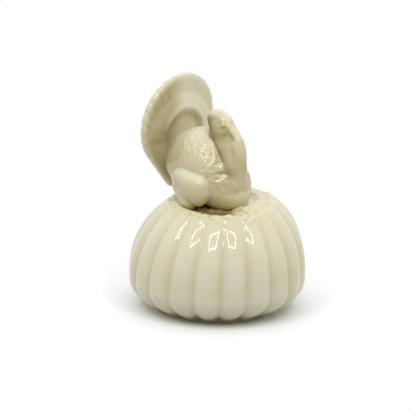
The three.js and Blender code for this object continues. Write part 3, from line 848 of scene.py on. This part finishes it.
# Each row: a place or line, the mark's width, and how far the clay is pushed out or how much glaze has
# gathered there, in millimetres. The glaze marks also paint shade in the pit, the hollows and the creases,
# and a highlight on the cape's edge where they are below zero.
SCULPTED_SPOTS = ((PIT, 1.5, -0.18), (BREAST_HOLLOW, 2.2, -0.4))
SCULPTED_LINES = ((CAPE_LINE, 0.7, 0.5), (NECK_LINE, 1.0, -0.4))
GLAZE_AND_SHADE_SPOTS = ((PIT, 1.6, 0.2), (BREAST_HOLLOW, 2.2, 0.12), (THIGH, 4.0, 0.12))
GLAZE_SHADE_AND_HIGHLIGHT_LINES = ((NECK_LINE, 2.0, 0.22), (CAPE_LINE, 0.6, -0.3), (THIGH_LINE, 1.0, 0.15))
THIGH_CREASE = 0.2 * MM
EYE_BULGE, EYE_GLAZE = 0.25 * MM, 0.15 * MM
WING_CREASE_WIDTH, THIGH_CREASE_WIDTH = 0.7 * MM, MM


def feather_rows(points):
    """Rows of short scale feathers from the breast over the back, from 0 to 1 at their tips."""
    back, up = points[:, 1] - BACK_MIDDLE[0], points[:, 2] - BACK_MIDDLE[1]
    row = np.arctan2(up, -back) * BACK_RADIUS / SCALE_LENGTH
    place = points[:, 0] / SCALE_WIDTH
    best = np.zeros(len(points))
    for shift in (0, 1):
        number = np.floor((row + shift) / 2) * 2 - shift
        column = place + 0.5 * shift
        across = column - np.round(column)
        along = row - number - 2.6 * across**2
        rise = np.where(along < SCALE_REACH, np.clip(along / SCALE_REACH, 0, 1) ** 1.5, 0)
        best = np.maximum(best, rise * (1 - 0.6 * (2 * np.abs(across)) ** 4))
    return best


def spot(points, place, width):
    """1 on both sides of the bird at a place, fading to 0 at the width."""
    away = np.linalg.norm(points[:, 1:] - np.array(place) * MM, axis=1)
    return ridge(away, 0, width) * smooth_step(*OFF_MIDDLE, np.abs(points[:, 0]))


def press_line(points, line, width):
    """1 on a line on the bird's flanks, fading to 0 at the width."""
    places = points[:, 1:]
    nearest = np.full(len(points), 1.0)
    for start, end in zip(line[:-1], line[1:]):
        start, end = np.array(start) * MM, np.array(end) * MM
        run = end - start
        share = np.clip((places - start) @ run / (run @ run), 0, 1)
        nearest = np.minimum(nearest, np.linalg.norm(places - start - share[:, None] * run, axis=1))
    return ridge(nearest, 0, width)


def marks(points, shape, rows):
    """The sum in metres of the marks of one shape, spot or press_line."""
    return sum(depth * MM * shape(points, place, width * MM) for place, width, depth in rows)


def soften(clay, rounds):
    """Smooths the head, neck and wattle into one another, and the bird's joints less."""
    points = points_of(clay)
    limbs = (throat_limb(), head_limb(), beak_limb(), snood_limb(), wattle_limb(), neck_limb(), crop_limb())
    gap = np.min([limb.measure(points) for limb in limbs], axis=0)
    weight = np.maximum(fade_out(0.8 * MM, 2.5 * MM, gap), 0.2)
    weight *= fade_out(*TAIL_ROOT, points[:, 1])
    group = clay.vertex_groups.new(name="soft clay")
    levels = 10
    for level in range(1, levels + 1):
        chosen = np.flatnonzero(np.round(weight * levels) == level)
        if len(chosen):
            group.add(chosen.tolist(), level / levels, "REPLACE")
    apply_modifier(clay, "SMOOTH", factor=0.5, iterations=14 * rounds, vertex_group=group.name)


def sculpt(clay, sizes):
    """Feathers, creases and the hollow behind the beak, worked into the soft clay."""
    points, out = points_of(clay), normals_of(clay)
    y, z = points[:, 1], points[:, 2]
    side = np.abs(points[:, 0])
    on_body = fade_out(0.2 * MM, 1.2 * MM, body_limb().measure(points))
    on_body *= smooth_step(0.5 * MM, 1.5 * MM, neck_limb().measure(points))
    open_back = fade_out(*BACK_END, y) * smooth_step(*OVER_SEAT, z)
    strength = 0.7 + 0.3 * smooth_step(*SHOULDERS, z) * fade_out(*NAPE, z)
    moved = sizes.scale_depth * strength * on_body * open_back * feather_rows(points)
    on_wing = smooth_step(*ON_WING, side)
    beside_neck = smooth_step(*BESIDE_NECK, side) * (1 - on_wing)
    moved -= sizes.crease_depth * on_wing * press_line(points, WING_LINE, WING_CREASE_WIDTH)
    moved -= THIGH_CREASE * on_body * press_line(points, THIGH_LINE, THIGH_CREASE_WIDTH)
    moved += EYE_BULGE * spot(points, EYE, sizes.eye_diameter / 2)
    moved += marks(points, spot, SCULPTED_SPOTS) + beside_neck * marks(points, press_line, SCULPTED_LINES)
    place_points(clay, points + out * moved[:, None])


SEAT_FILM = 0.06 * MM  # between the bird and the pumpkin's glaze


def model_clay(sizes, pumpkin):
    """The whole bird as one soft form: its parts laid together, joined and smoothed."""
    fan = tail_fan(sizes)
    coverts = tail_coverts().model("coverts")
    middle = (
        ("body", body_limb()), ("neck", neck_limb()), ("head", head_limb()), ("beak", beak_limb()),
        ("throat", throat_limb()), ("snood", snood_limb()), ("wattle", wattle_limb()),
        ("crop", crop_limb()), ("fan", fan),
    )
    forms = [part.model(name) for name, part in middle]
    clay = forms[0]
    for side in (-1, 1):
        forms += [wing_limb(side).model("wing"), tip_limb(side).model("tips"), cape_edge(side).model("cape")]
    for form in (clay, coverts):
        points = points_of(form)
        points[:, 1] = np.minimum(points[:, 1], fan.front(points)[1] + FAN_THICKNESS / 3)
        place_points(form, points)
    clear_choice()
    for form in (*forms, coverts):
        form.select_set(True)
    bpy.context.view_layer.objects.active = clay
    bpy.ops.object.join()
    grain = sizes.clay_grain * 1
    apply_modifier(clay, "REMESH", mode="VOXEL", voxel_size=grain)
    rounds = 4
    apply_modifier(clay, "SMOOTH", factor=0.5, iterations=2 * rounds)
    soften(clay, rounds)
    sculpt(clay, sizes)
    apply_modifier(clay, "SMOOTH", factor=0.5, iterations=rounds)
    points = points_of(clay)
    points[:, 2] = np.maximum(points[:, 2], crown_height(pumpkin, points) + SEAT_FILM)
    place_points(clay, points)
    return clay


# Parting the clay


def corner_list(piece):
    """A mesh's triangles as rows of three point numbers."""
    apply_modifier(piece, "TRIANGULATE")
    flat = np.empty(len(piece.data.loops), np.int32)
    piece.data.loops.foreach_get("vertex_index", flat)
    return flat.reshape(-1, 3)


def part_along(columns, triangles, side):
    """Cuts triangles along the line where side is 0. Columns hold the points' values, and the cut
    adds rows to them. Returns the columns, the triangles where side is below 0, and the rest."""
    below = side < 0
    count = below[triangles].sum(1)
    inner, outer = [triangles[count == 3]], [triangles[count == 0]]
    crossed = triangles[(count == 1) | (count == 2)]
    lone = below[crossed] == (below[crossed].sum(1) == 1)[:, None]
    first = lone.argmax(1)
    rows = np.arange(len(crossed))
    a, b, c = (crossed[rows, (first + k) % 3] for k in range(3))
    edges = np.concatenate([np.stack([a, b], 1), np.stack([a, c], 1)])
    keys, where = np.unique(np.sort(edges, 1), axis=0, return_inverse=True)
    where = where.reshape(-1) + len(columns)
    share = side[keys[:, 0]] / (side[keys[:, 0]] - side[keys[:, 1]])
    added = columns[keys[:, 0]] * (1 - share)[:, None] + columns[keys[:, 1]] * share[:, None]
    ab, ac = where[: len(crossed)], where[len(crossed) :]
    tip = np.stack([a, ab, ac], 1)
    base = np.concatenate([np.stack([ab, b, c], 1), np.stack([ab, c, ac], 1)])
    tip_below = below[a]
    twice = np.concatenate([tip_below, tip_below])
    inner += [tip[tip_below], base[~twice]]
    outer += [tip[~tip_below], base[twice]]
    return np.concatenate([columns, added]), np.concatenate(inner), np.concatenate(outer)


def open_loops(triangles, size):
    """The edge loops that a mesh of so many points leaves open, as lists of point numbers."""
    edges = np.concatenate([triangles[:, [0, 1]], triangles[:, [1, 2]], triangles[:, [2, 0]]])
    forward = edges[:, 0].astype(np.int64) * size + edges[:, 1]
    backward = edges[:, 1].astype(np.int64) * size + edges[:, 0]
    follow = {}
    for a, b in edges[~np.isin(forward, backward)].tolist():
        follow.setdefault(a, []).append(b)
    while follow:
        loop, a = [], next(iter(follow))
        while a in follow:
            loop.append(a)
            ahead = follow[a].pop()
            if not follow[a]:
                del follow[a]
            a = ahead
        yield loop


def close_holes(columns, triangles, under=LIP):
    """Closes each open edge loop: a ring a little under the surface, then the loop's own middle."""
    size = len(columns)
    added, caps = [], []
    for loop in open_loops(triangles, size):
        ring = columns[loop].copy()
        ring[:, :3] -= ring[:, 3:6] * under
        inner = size + sum(len(block) for block in added) + np.arange(len(loop))
        added += [ring, ring.mean(0)[None]]
        middle = inner[-1] + 1
        for i, point in enumerate(loop):
            ahead = (i + 1) % len(loop)
            caps += [(loop[ahead], point, inner[i]), (loop[ahead], inner[i], inner[ahead])]
            caps.append((inner[ahead], inner[i], middle))
    if not added:
        return columns, triangles
    return np.concatenate([columns, *added]), np.concatenate([triangles, np.array(caps, int)])


def casting(name, columns, triangles):
    """A closed piece from its part of the clay."""
    used, numbers = np.unique(triangles, return_inverse=True)
    faces = numbers.reshape(-1, 3)
    mesh = bpy.data.meshes.new(name)
    mesh.from_pydata(columns[used, :3].tolist(), [], faces.tolist())
    mesh.polygons.foreach_set("use_smooth", np.ones(len(faces), bool))
    write_layer(mesh, "glaze_and_shade", columns[used, 6])
    normals = columns[used, 3:6]
    normals /= np.maximum(np.linalg.norm(normals, axis=1), 1e-9)[:, None]
    mesh.normals_split_custom_set_from_vertices(normals.tolist())
    piece = bpy.data.objects.new(name, mesh)
    bpy.context.scene.collection.objects.link(piece)
    return piece


# Its depths darken hollows on the pumpkin and the bird: painted shade, partly glaze gathered in them.
def hollow_depth(piece, rounds):
    """How far each point lies in a hollow, in metres, from smoothing the shape."""
    points = points_of(piece)
    edges = np.empty(len(piece.data.edges) * 2, np.int32)
    piece.data.edges.foreach_get("vertices", edges)
    a, b = edges.reshape(-1, 2).T
    ends, others = np.concatenate([a, b]), np.concatenate([b, a])
    degree = np.bincount(ends, minlength=len(points))[:, None]
    smoothed = points.copy()
    for _ in range(rounds):
        total = np.stack([np.bincount(ends, smoothed[others, k], len(points)) for k in range(3)], 1)
        smoothed = 0.5 * smoothed + 0.5 * total / np.maximum(degree, 1)
    return ((smoothed - points) * normals_of(piece)).sum(1)


# How deep the glaze lies on the bird, in millimetres, and where it ran off below zero. These depths also
# paint light and shade: painted shade on steep sides, on the right half of fan and flank, on neck, head and
# breast, under the bird and in hollows, and painted highlights on tops and rims.
FAN_SHADE, FAN_RIM_SHARE, FACE_GLAZE = 0.53, 0.25, -0.02
STEEP_SHADE_AND_GLAZE, LEVEL_LIGHT_AND_GLAZE, SEAT_SHADE_AND_GLAZE = 0.3, -0.05, 0.35
NECK_SHADE_AND_GLAZE, HEAD_SHADE_AND_GLAZE, BREAST_SHADE_AND_GLAZE = 0.14, 0.3, 0.12
RIGHT_FLANK_SHADE, LEFT_FLANK_GLAZE = 0.38, 0.02
COVERT_SHADE_AND_GLAZE, COVERT_TOP_SHADE_AND_GLAZE, COVERT_RIM_HIGHLIGHT = 0.12, 0.26, -0.3
HOLLOW_SHADE_AND_GLAZE, HOLLOW_ROUNDS = 0.3, 60


def glaze_and_shade_depth(clay, neck, body, fan, sizes):
    """How deep the glaze lies at each of the clay's points, with the painted light and shade carried along:
    darker in the hollows and on steep sides, on the right half of the fan, where the castings meet, and round
    the coverts, and lighter on tops and rims."""
    points = points_of(clay)
    x, y, z = points.T
    steep = fade_out(0.1, 0.85, normals_of(clay)[:, 2])
    level, face = fan.front(points)
    behind_face = y - face
    covert_level = tail_coverts().front(points)[0]

    on_fan = smooth_step(-2.5 * MM, -MM, behind_face)
    # Painted shade on the fan's right half, kept lighter at its rim.
    on_right = fade_out(-9 * MM, MM, x) * fade_out(MM, 2.5 * MM, behind_face)
    on_rim = smooth_step(0.93, 1, level)
    fan_shade_and_glaze = (FAN_SHADE * on_right + FACE_GLAZE) * (1 - (1 - FAN_RIM_SHARE) * on_rim) + FACE_GLAZE
    # Steep sides darker and level tops lighter: glaze running off the tops, partly painted light and shade by
    # which way a face points.
    glaze_and_shade = fan_shade_and_glaze * on_fan + (STEEP_SHADE_AND_GLAZE * steep + LEVEL_LIGHT_AND_GLAZE) * (1 - on_fan)

    column = fade_out(0.3 * MM, 1.5 * MM, neck) * smooth_step(*NECK_FOOT, z)
    breast = fade_out(*BREAST_BACK, y) * fade_out(*BREAST_TOP, z)
    # Painted shade on the steep sides of neck, head and breast, and under the bird just over the seat, partly
    # glaze gathered there.
    glaze_and_shade += steep * column * (NECK_SHADE_AND_GLAZE + HEAD_SHADE_AND_GLAZE * smooth_step(*HEAD_FOOT, z))
    glaze_and_shade += steep * breast * BREAST_SHADE_AND_GLAZE + SEAT_SHADE_AND_GLAZE * fade_out(0.3 * MM, 3 * MM, z - SEAT_HEIGHT)

    flank = fade_out(1.5, 1.8, covert_level) * smooth_step(*THROAT_FOOT, z)
    flank *= smooth_step(0.1 * MM, 0.7 * MM, body) * smooth_step(*RUMP, y)
    # Painted shade on the flank's right side, beside the coverts.
    glaze_and_shade += flank * (1 - on_fan) * (RIGHT_FLANK_SHADE * on_right + LEFT_FLANK_GLAZE)
    # Darker inside the coverts' dish, painted shade and glaze gathered there, with a painted highlight along
    # their rim.
    upper = smooth_step(*COVERT_TOP, z)
    inside = (COVERT_SHADE_AND_GLAZE + COVERT_TOP_SHADE_AND_GLAZE * upper) * fade_out(0.8, 0.95, covert_level)
    rim = COVERT_RIM_HIGHLIGHT * upper * ridge(covert_level, 1.03, 0.07)
    glaze_and_shade += flank * fade_out(0, MM, behind_face) * (inside + rim)

    beside_neck = smooth_step(*BESIDE_NECK, np.abs(x))
    # Painted shade in the pit, hollows, neck valley and thigh crease, and a painted highlight on the cape's
    # edge, partly glaze.
    drawn = marks(points, spot, GLAZE_AND_SHADE_SPOTS) + beside_neck * marks(points, press_line, GLAZE_SHADE_AND_HIGHLIGHT_LINES)
    drawn += EYE_GLAZE * spot(points, EYE, 0.6 * sizes.eye_diameter)
    hollow = hollow_depth(clay, HOLLOW_ROUNDS)
    return HOLLOW_SHADE_AND_GLAZE * hollow + MM * glaze_and_shade + drawn


BEFORE_FACE = 0.35 * MM  # how far before the fan's face its joint lies
COVERTS_AHEAD = 2.7 * MM  # how far the coverts reach forward from their root
SNOOD_MORE, WATTLE_MORE = 0.3 * MM, 0.5 * MM  # how much wider these two are cut than modelled


def joint_measures(points, neck, body):
    """About how far each point lies outside each casting but the fan. Each casting takes the
    points where its own measure is below those of all that follow it."""
    coverts = tail_coverts()
    wings = [np.minimum(wing_limb(side).measure(points), tip_limb(side).measure(points)) for side in (-1, 1)]
    low = fade_out(*THROAT_FOOT, points[:, 2])
    before = coverts.root[1] - COVERTS_AHEAD - points[:, 1]
    return {
        "right_wing": wings[0],
        "left_wing": wings[1],
        "snood": snood_limb().measure(points) - SNOOD_MORE,
        "wattle": wattle_limb().measure(points) - WATTLE_MORE * low,
        "neck_and_head": neck,
        "tail_coverts": np.maximum(np.maximum(coverts.beyond(points), before), 0) + BEFORE_FACE,
        "turkey_body": body,
    }


def part_castings(clay, sizes):
    """Parts the clay into the castings it was made of, each closed."""
    points = points_of(clay)
    fan = tail_fan(sizes)
    neck = np.min([limb.measure(points) for limb in (neck_limb(), head_limb(), beak_limb())], axis=0)
    body = body_limb().measure(points)
    glaze_and_shade = glaze_and_shade_depth(clay, neck, body, fan, sizes)
    measures = joint_measures(points, neck, body)
    triangles = corner_list(clay)
    behind = fan.front(points)[1] - BEFORE_FACE - points[:, 1]
    columns = np.column_stack([points, normals_of(clay), glaze_and_shade, behind, *measures.values()])
    columns, inner, triangles = part_along(columns, triangles, behind)
    pieces = {"tail_fan": casting("glazed_tail_fan", *close_holes(columns, inner))}
    first = columns.shape[1] - len(measures)
    for number, node in enumerate(list(measures)[:-1]):
        under = LIP * (1 + 0.07 * (number + 1))  # each casting's caps have a depth of their own
        columns, triangles = close_holes(columns, triangles, under)
        side = columns[:, first + number] - columns[:, first + number + 1 :].min(1)
        columns, inner, triangles = part_along(columns, triangles, side)
        pieces[node] = casting("glazed_" + node, *close_holes(columns, inner, under))
    pieces["turkey_body"] = casting("glazed_turkey_body", *close_holes(columns, triangles, 2 * LIP))
    bpy.data.objects.remove(clay)
    return pieces


# Finishes


def stretch(tree, value, low, high, to_low=0.0, to_high=1.0, easing="LINEAR"):
    """A shader value stretched from one range to another."""
    node = tree.nodes.new("ShaderNodeMapRange")
    node.interpolation_type = easing
    for name, number in (("From Min", low), ("From Max", high), ("To Min", to_low), ("To Max", to_high)):
        node.inputs[name].default_value = number
    tree.links.new(value, node.inputs["Value"])
    return node.outputs["Result"]


def combine(tree, operation, first, second):
    """Two shader values added, multiplied or compared."""
    node = tree.nodes.new("ShaderNodeMath")
    node.operation = operation
    tree.links.new(first, node.inputs[0])
    tree.links.new(second, node.inputs[1])
    return node.outputs[0]


def noise(tree, scale, detail):
    """Soft noise over the object's own coordinates."""
    place, node = tree.nodes.new("ShaderNodeTexCoord"), tree.nodes.new("ShaderNodeTexNoise")
    node.inputs["Scale"].default_value, node.inputs["Detail"].default_value = scale, detail
    tree.links.new(place.outputs["Object"], node.inputs["Vector"])
    return node.outputs["Fac"]


def show_blend(tree, share, first, second, output):
    """Shows the first shader where the share is 0 and the second where it is 1."""
    blend = tree.nodes.new("ShaderNodeMixShader")
    for number, source in enumerate((share, first.outputs[0], second.outputs[0])):
        tree.links.new(source, blend.inputs[number])
    tree.links.new(blend.outputs[0], output.inputs["Surface"])


def seen(tree):
    """1 for what the camera sees, itself, in a reflection or through glass, and 0 for soft light."""
    path = tree.nodes.new("ShaderNodeLightPath").outputs
    direct = combine(tree, "MAXIMUM", path["Is Camera Ray"], path["Is Glossy Ray"])
    return combine(tree, "MAXIMUM", direct, path["Is Transmission Ray"])


GLAZE_INDEX = 1.5
CLOUD_SCALE, CLOUD_DETAIL, SKIN_SCALE, SKIN_DETAIL = 90, 3, 260, 2
DRIFT = (-0.04 * MM, 0.05 * MM)  # how much thinner and deeper the glaze lies in clouds
COLOUR_RAMP_DEPTHS = (-0.15 * MM, 0.85 * MM)  # depths at the two ends of the colours
CREAM_SHARE, THICK_AND_SHADE_SHARE = 0.15, 0.5  # of the way between them
ROUGHNESS = (0.04, 0.10)
SKIN_STRENGTH, SKIN_HEIGHT = 0.35, 0.26 * MM


def glaze(name, colours):
    """Cream glaze, paler where it lies thin and browner where it has gathered. Its attribute also carries
    painted light: lighter on rims and tops, and darker as painted shade in hollows, on steep sides and under
    the bird.
    """
    material = bpy.data.materials.get(name)
    if material:
        return material
    material = bpy.data.materials.new(name)
    material.use_nodes = True
    tree = material.node_tree
    links = tree.links
    shader = tree.nodes["Principled BSDF"]
    shader.inputs["IOR"].default_value = GLAZE_INDEX
    # The attribute holds glaze depth together with painted highlights and painted shade.
    glaze_and_shade = tree.nodes.new("ShaderNodeAttribute")
    glaze_and_shade.attribute_name = "glaze_and_shade"
    clouds = noise(tree, CLOUD_SCALE, CLOUD_DETAIL)
    drift = stretch(tree, clouds, 0.3, 0.7, *DRIFT)
    depth = combine(tree, "ADD", glaze_and_shade.outputs["Fac"], drift)
    colour = tree.nodes.new("ShaderNodeValToRGB")
    ramp = colour.color_ramp.elements
    ramp[0].color, ramp[1].color = (*colours.thin, 1), (*colours.pooled_and_shade, 1)
    ramp.new(CREAM_SHARE).color = (*colours.cream, 1)
    ramp.new(THICK_AND_SHADE_SHARE).color = (*colours.thick_and_shade, 1)
    links.new(stretch(tree, depth, *COLOUR_RAMP_DEPTHS), colour.inputs["Fac"])
    links.new(colour.outputs["Color"], shader.inputs["Base Color"])
    links.new(stretch(tree, clouds, 0, 1, *ROUGHNESS), shader.inputs["Roughness"])
    bump = tree.nodes.new("ShaderNodeBump")
    bump.inputs["Strength"].default_value = SKIN_STRENGTH
    bump.inputs["Distance"].default_value = SKIN_HEIGHT
    links.new(noise(tree, SKIN_SCALE, SKIN_DETAIL), bump.inputs["Height"])
    links.new(bump.outputs["Normal"], shader.inputs["Normal"])
    return material


def finish_piece(piece, node, material):
    """Gives a piece its glaze and its place on the figure."""
    piece.data.materials.clear()
    piece.data.materials.append(material)
    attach(piece, BODY)
    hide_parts(node)


# Seat bead

BEAD_THICKNESS = 1.3 * MM
BEAD_MARGIN = 0.4 * MM  # how far the bead stays inside its node, and how high its middle lies
BEAD_FLATNESS = 0.6
BEAD_SHADE_AND_GLAZE = 0.8 * MM


def model_seat_bead():
    """A lumpy ring round the bird's seat, wider towards its inside."""
    clear_choice()
    bpy.ops.mesh.primitive_torus_add(
        major_segments=160, minor_segments=20, major_radius=1, minor_radius=BEAD_THICKNESS, location=(0, 0, 0)
    )
    piece = name_new("glazed_seat_bead")
    points = points_of(piece)
    angle = np.arctan2(points[:, 1], points[:, 0])
    out = np.hypot(points[:, 0], points[:, 1]) - 1
    out = np.where(out < 0, 3 * out, out)
    lump = 1 + 0.25 * np.sin(7 * angle + 1) + 0.2 * np.sin(17 * angle)
    half = (BEAD_HIGH - BEAD_LOW) / 2 - BEAD_THICKNESS - BEAD_MARGIN
    middle = (BEAD_LOW + BEAD_HIGH) / 2
    place_points(piece, np.stack([
        np.cos(angle) * (half[0] + out * lump), np.sin(angle) * (half[1] + out * lump) + middle[1],
        SEAT_HEIGHT + BEAD_MARGIN + points[:, 2] * lump * BEAD_FLATNESS,
    ], 1))
    # The bead's near-darkest glaze paints the shade in the gap under the bird.
    write_layer(piece.data, "glaze_and_shade", np.full(len(points), BEAD_SHADE_AND_GLAZE))
    return piece


# Stage

LAMP_RING_WIDE, LAMP_RING_TALL = 0.4, 0.2
LAMP_STRIP, LAMP_POST = 0.03, 0.045  # how thick the level and the upright lamps are
FLOOR_WIDTH, FLOOR_DROP = 6, 0.02 * MM
WHITENING = (38 * MM, 85 * MM)  # from the figure's middle, where the paper fades to plain white
TENT_EDGE = 0.95  # how squarely the camera has to be faced for the tent's opening to be full


def paper(colours):
    """White paper that takes the figure's shadow and fades to plain white away from it."""
    material = bpy.data.materials.new("floor_paper")
    material.use_nodes = True
    tree = material.node_tree
    shader = tree.nodes["Principled BSDF"]
    shader.inputs["Roughness"].default_value = 0.7
    shader.inputs["Specular IOR Level"].default_value = 0.1
    to_camera = seen(tree)
    tone = tree.nodes.new("ShaderNodeMix")
    tone.data_type = "RGBA"
    tone.inputs["A"].default_value = (*colours.floor_bounce, 1)
    tone.inputs["B"].default_value = (*colours.floor, 1)
    tree.links.new(to_camera, tone.inputs["Factor"])
    tree.links.new(tone.outputs["Result"], shader.inputs["Base Color"])
    place, away = tree.nodes.new("ShaderNodeTexCoord"), tree.nodes.new("ShaderNodeVectorMath")
    away.operation = "LENGTH"
    tree.links.new(place.outputs["Object"], away.inputs[0])
    far = stretch(tree, away.outputs["Value"], *WHITENING, easing="SMOOTHSTEP")
    share = combine(tree, "MULTIPLY", far, to_camera)
    white = tree.nodes.new("ShaderNodeEmission")
    show_blend(tree, share, shader, white, tree.nodes["Material Output"])
    return material


def light_tent(scene, stage):
    """White to the camera, and on the figure the soft light of a tent that is open in front."""
    world = bpy.data.worlds.new("tent")
    scene.world = world
    world.use_nodes = True
    tree = world.node_tree
    tent, backdrop = tree.nodes["Background"], tree.nodes.new("ShaderNodeBackground")
    for background in (tent, backdrop):
        background.inputs["Color"].default_value = (1, 1, 1, 1)
    place, facing = tree.nodes.new("ShaderNodeTexCoord"), tree.nodes.new("ShaderNodeVectorMath")
    facing.operation = "DOT_PRODUCT"
    facing.inputs[1].default_value = (-math.sin(stage.azimuth), -math.cos(stage.azimuth), 0)
    tree.links.new(place.outputs["Generated"], facing.inputs[0])
    strengths = stage.tent_walls, stage.tent_opening
    light = stretch(tree, facing.outputs["Value"], 0, TENT_EDGE, *strengths, "SMOOTHSTEP")
    tree.links.new(light, tent.inputs["Strength"])
    show_blend(tree, seen(tree), tent, backdrop, tree.nodes["World Output"])


def hang_lamps(scene, stage):
    """Four strip lamps in a rectangle over the camera's side."""
    turn, rise = stage.azimuth, stage.lamp_elevation
    across = Vector((math.cos(turn), -math.sin(turn), 0))
    sight = Vector((-math.sin(turn) * math.cos(rise), -math.cos(turn) * math.cos(rise), math.sin(rise)))
    middle = sight * stage.lamp_distance
    up = sight.cross(across)
    half_wide, half_tall = LAMP_RING_WIDE / 2, LAMP_RING_TALL / 2
    strips = (
        ("lamp_top", up * half_tall, LAMP_RING_WIDE, LAMP_STRIP),
        ("lamp_bottom", up * -half_tall, LAMP_RING_WIDE, LAMP_STRIP),
        ("lamp_left", across * -half_wide, LAMP_POST, LAMP_RING_TALL),
        ("lamp_right", across * half_wide, LAMP_POST, LAMP_RING_TALL),
    )
    for name, offset, wide, tall in strips:
        light = bpy.data.lights.new(name, "AREA")
        light.shape = "RECTANGLE"
        light.size, light.size_y = wide, tall
        light.energy = stage.lamp_power / len(strips)
        lamp = bpy.data.objects.new(name, light)
        lamp.location = middle + offset
        lamp.rotation_euler = (-middle).to_track_quat("-Z", "Y").to_euler()
        scene.collection.objects.link(lamp)


def place_camera(scene, stage):
    """The photograph's viewing angle."""
    data = bpy.data.cameras.new("camera")
    data.lens = stage.lens
    data.sensor_width = 36
    data.clip_start, data.clip_end = 0.01, 20
    camera = bpy.data.objects.new("camera", data)
    turn, rise = stage.azimuth, stage.elevation
    level, high = stage.distance * math.cos(rise), stage.distance * math.sin(rise)
    camera.location = (-level * math.sin(turn), -level * math.cos(turn), high)
    sight = Vector(stage.aim) - camera.location
    upright = sight.to_track_quat("-Z", "Y").to_matrix()
    camera.rotation_euler = (upright @ Euler((0, 0, -stage.roll)).to_matrix()).to_euler()
    scene.collection.objects.link(camera)
    scene.camera = camera
    scene.view_settings.view_transform = "Standard"


# Operators


class TURKEYFIGURE_OT_pumpkin(bpy.types.Operator):
    """Model the ribbed, hollow pumpkin"""

    bl_idname = "turkey_figure.pumpkin"
    bl_label = "Pumpkin"

    def execute(self, context):
        scene = context.scene
        piece = model_pumpkin(scene.figure_pumpkin)
        choose(piece)
        bpy.ops.object.shade_smooth_by_angle(angle=math.radians(50))
        material = glaze("cream_glaze_with_painted_shade_on_pumpkin", scene.figure_glaze)
        finish_piece(piece, "pumpkin_shell", material)
        return {"FINISHED"}


class TURKEYFIGURE_OT_turkey(bpy.types.Operator):
    """Model the turkey in clay and part it into its castings"""

    bl_idname = "turkey_figure.turkey"
    bl_label = "Turkey"

    def execute(self, context):
        scene = context.scene
        clay = model_clay(scene.figure_turkey, scene.figure_pumpkin)
        material = glaze("cream_glaze_with_painted_shade_on_bird", scene.figure_glaze)
        for node, piece in part_castings(clay, scene.figure_turkey).items():
            finish_piece(piece, node, material)
        return {"FINISHED"}


class TURKEYFIGURE_OT_seat_bead(bpy.types.Operator):
    """Model the bead of slip round the bird's seat"""

    bl_idname = "turkey_figure.seat_bead"
    bl_label = "Seat bead"

    def execute(self, context):
        piece = model_seat_bead()
        choose(piece)
        bpy.ops.object.shade_smooth()
        material = glaze("cream_glaze_with_painted_shade_on_pumpkin", context.scene.figure_glaze)
        finish_piece(piece, "seat_slip_bead", material)
        return {"FINISHED"}


class TURKEYFIGURE_OT_stage(bpy.types.Operator):
    """Set up the floor, the tent, the lamps and the camera"""

    bl_idname = "turkey_figure.stage"
    bl_label = "Stage"

    def execute(self, context):
        scene = context.scene
        clear_choice()
        bpy.ops.mesh.primitive_plane_add(size=FLOOR_WIDTH, location=(0, 0, -FLOOR_DROP))
        floor = name_new("floor")
        floor.data.materials.append(paper(scene.figure_glaze))
        light_tent(scene, scene.figure_stage)
        hang_lamps(scene, scene.figure_stage)
        place_camera(scene, scene.figure_stage)
        return {"FINISHED"}


class TURKEYFIGURE_PT_panel(bpy.types.Panel):
    """Lists the figure's steps"""

    bl_idname = "TURKEYFIGURE_PT_panel"
    bl_label = "Turkey figure"
    bl_space_type = "VIEW_3D"
    bl_region_type = "UI"
    bl_category = "Turkey figure"

    def draw(self, context):
        for operator in OPERATORS:
            self.layout.operator(operator.bl_idname)


OPERATORS = (
    TURKEYFIGURE_OT_pumpkin, TURKEYFIGURE_OT_turkey, TURKEYFIGURE_OT_seat_bead, TURKEYFIGURE_OT_stage,
)
GROUPS = {
    "figure_pumpkin": PumpkinSizes,
    "figure_turkey": TurkeySizes,
    "figure_glaze": GlazeColours,
    "figure_stage": StageSizes,
}


def register():
    """Adds the sizes, the operators and the panel."""
    for name, group in GROUPS.items():
        bpy.utils.register_class(group)
        setattr(bpy.types.Scene, name, PointerProperty(type=group))
    for operator in OPERATORS:
        bpy.utils.register_class(operator)
    bpy.utils.register_class(TURKEYFIGURE_PT_panel)


def unregister():
    """Takes them away again."""
    bpy.utils.unregister_class(TURKEYFIGURE_PT_panel)
    for operator in reversed(OPERATORS):
        bpy.utils.unregister_class(operator)
    for name, group in reversed(GROUPS.items()):
        delattr(bpy.types.Scene, name)
        bpy.utils.unregister_class(group)


def main():
    """Makes the figure and its stage."""
    register()
    for operator in OPERATORS:
        group, name = operator.bl_idname.split(".")
        getattr(getattr(bpy.ops, group), name)()


if __name__ == "__main__":
    main()
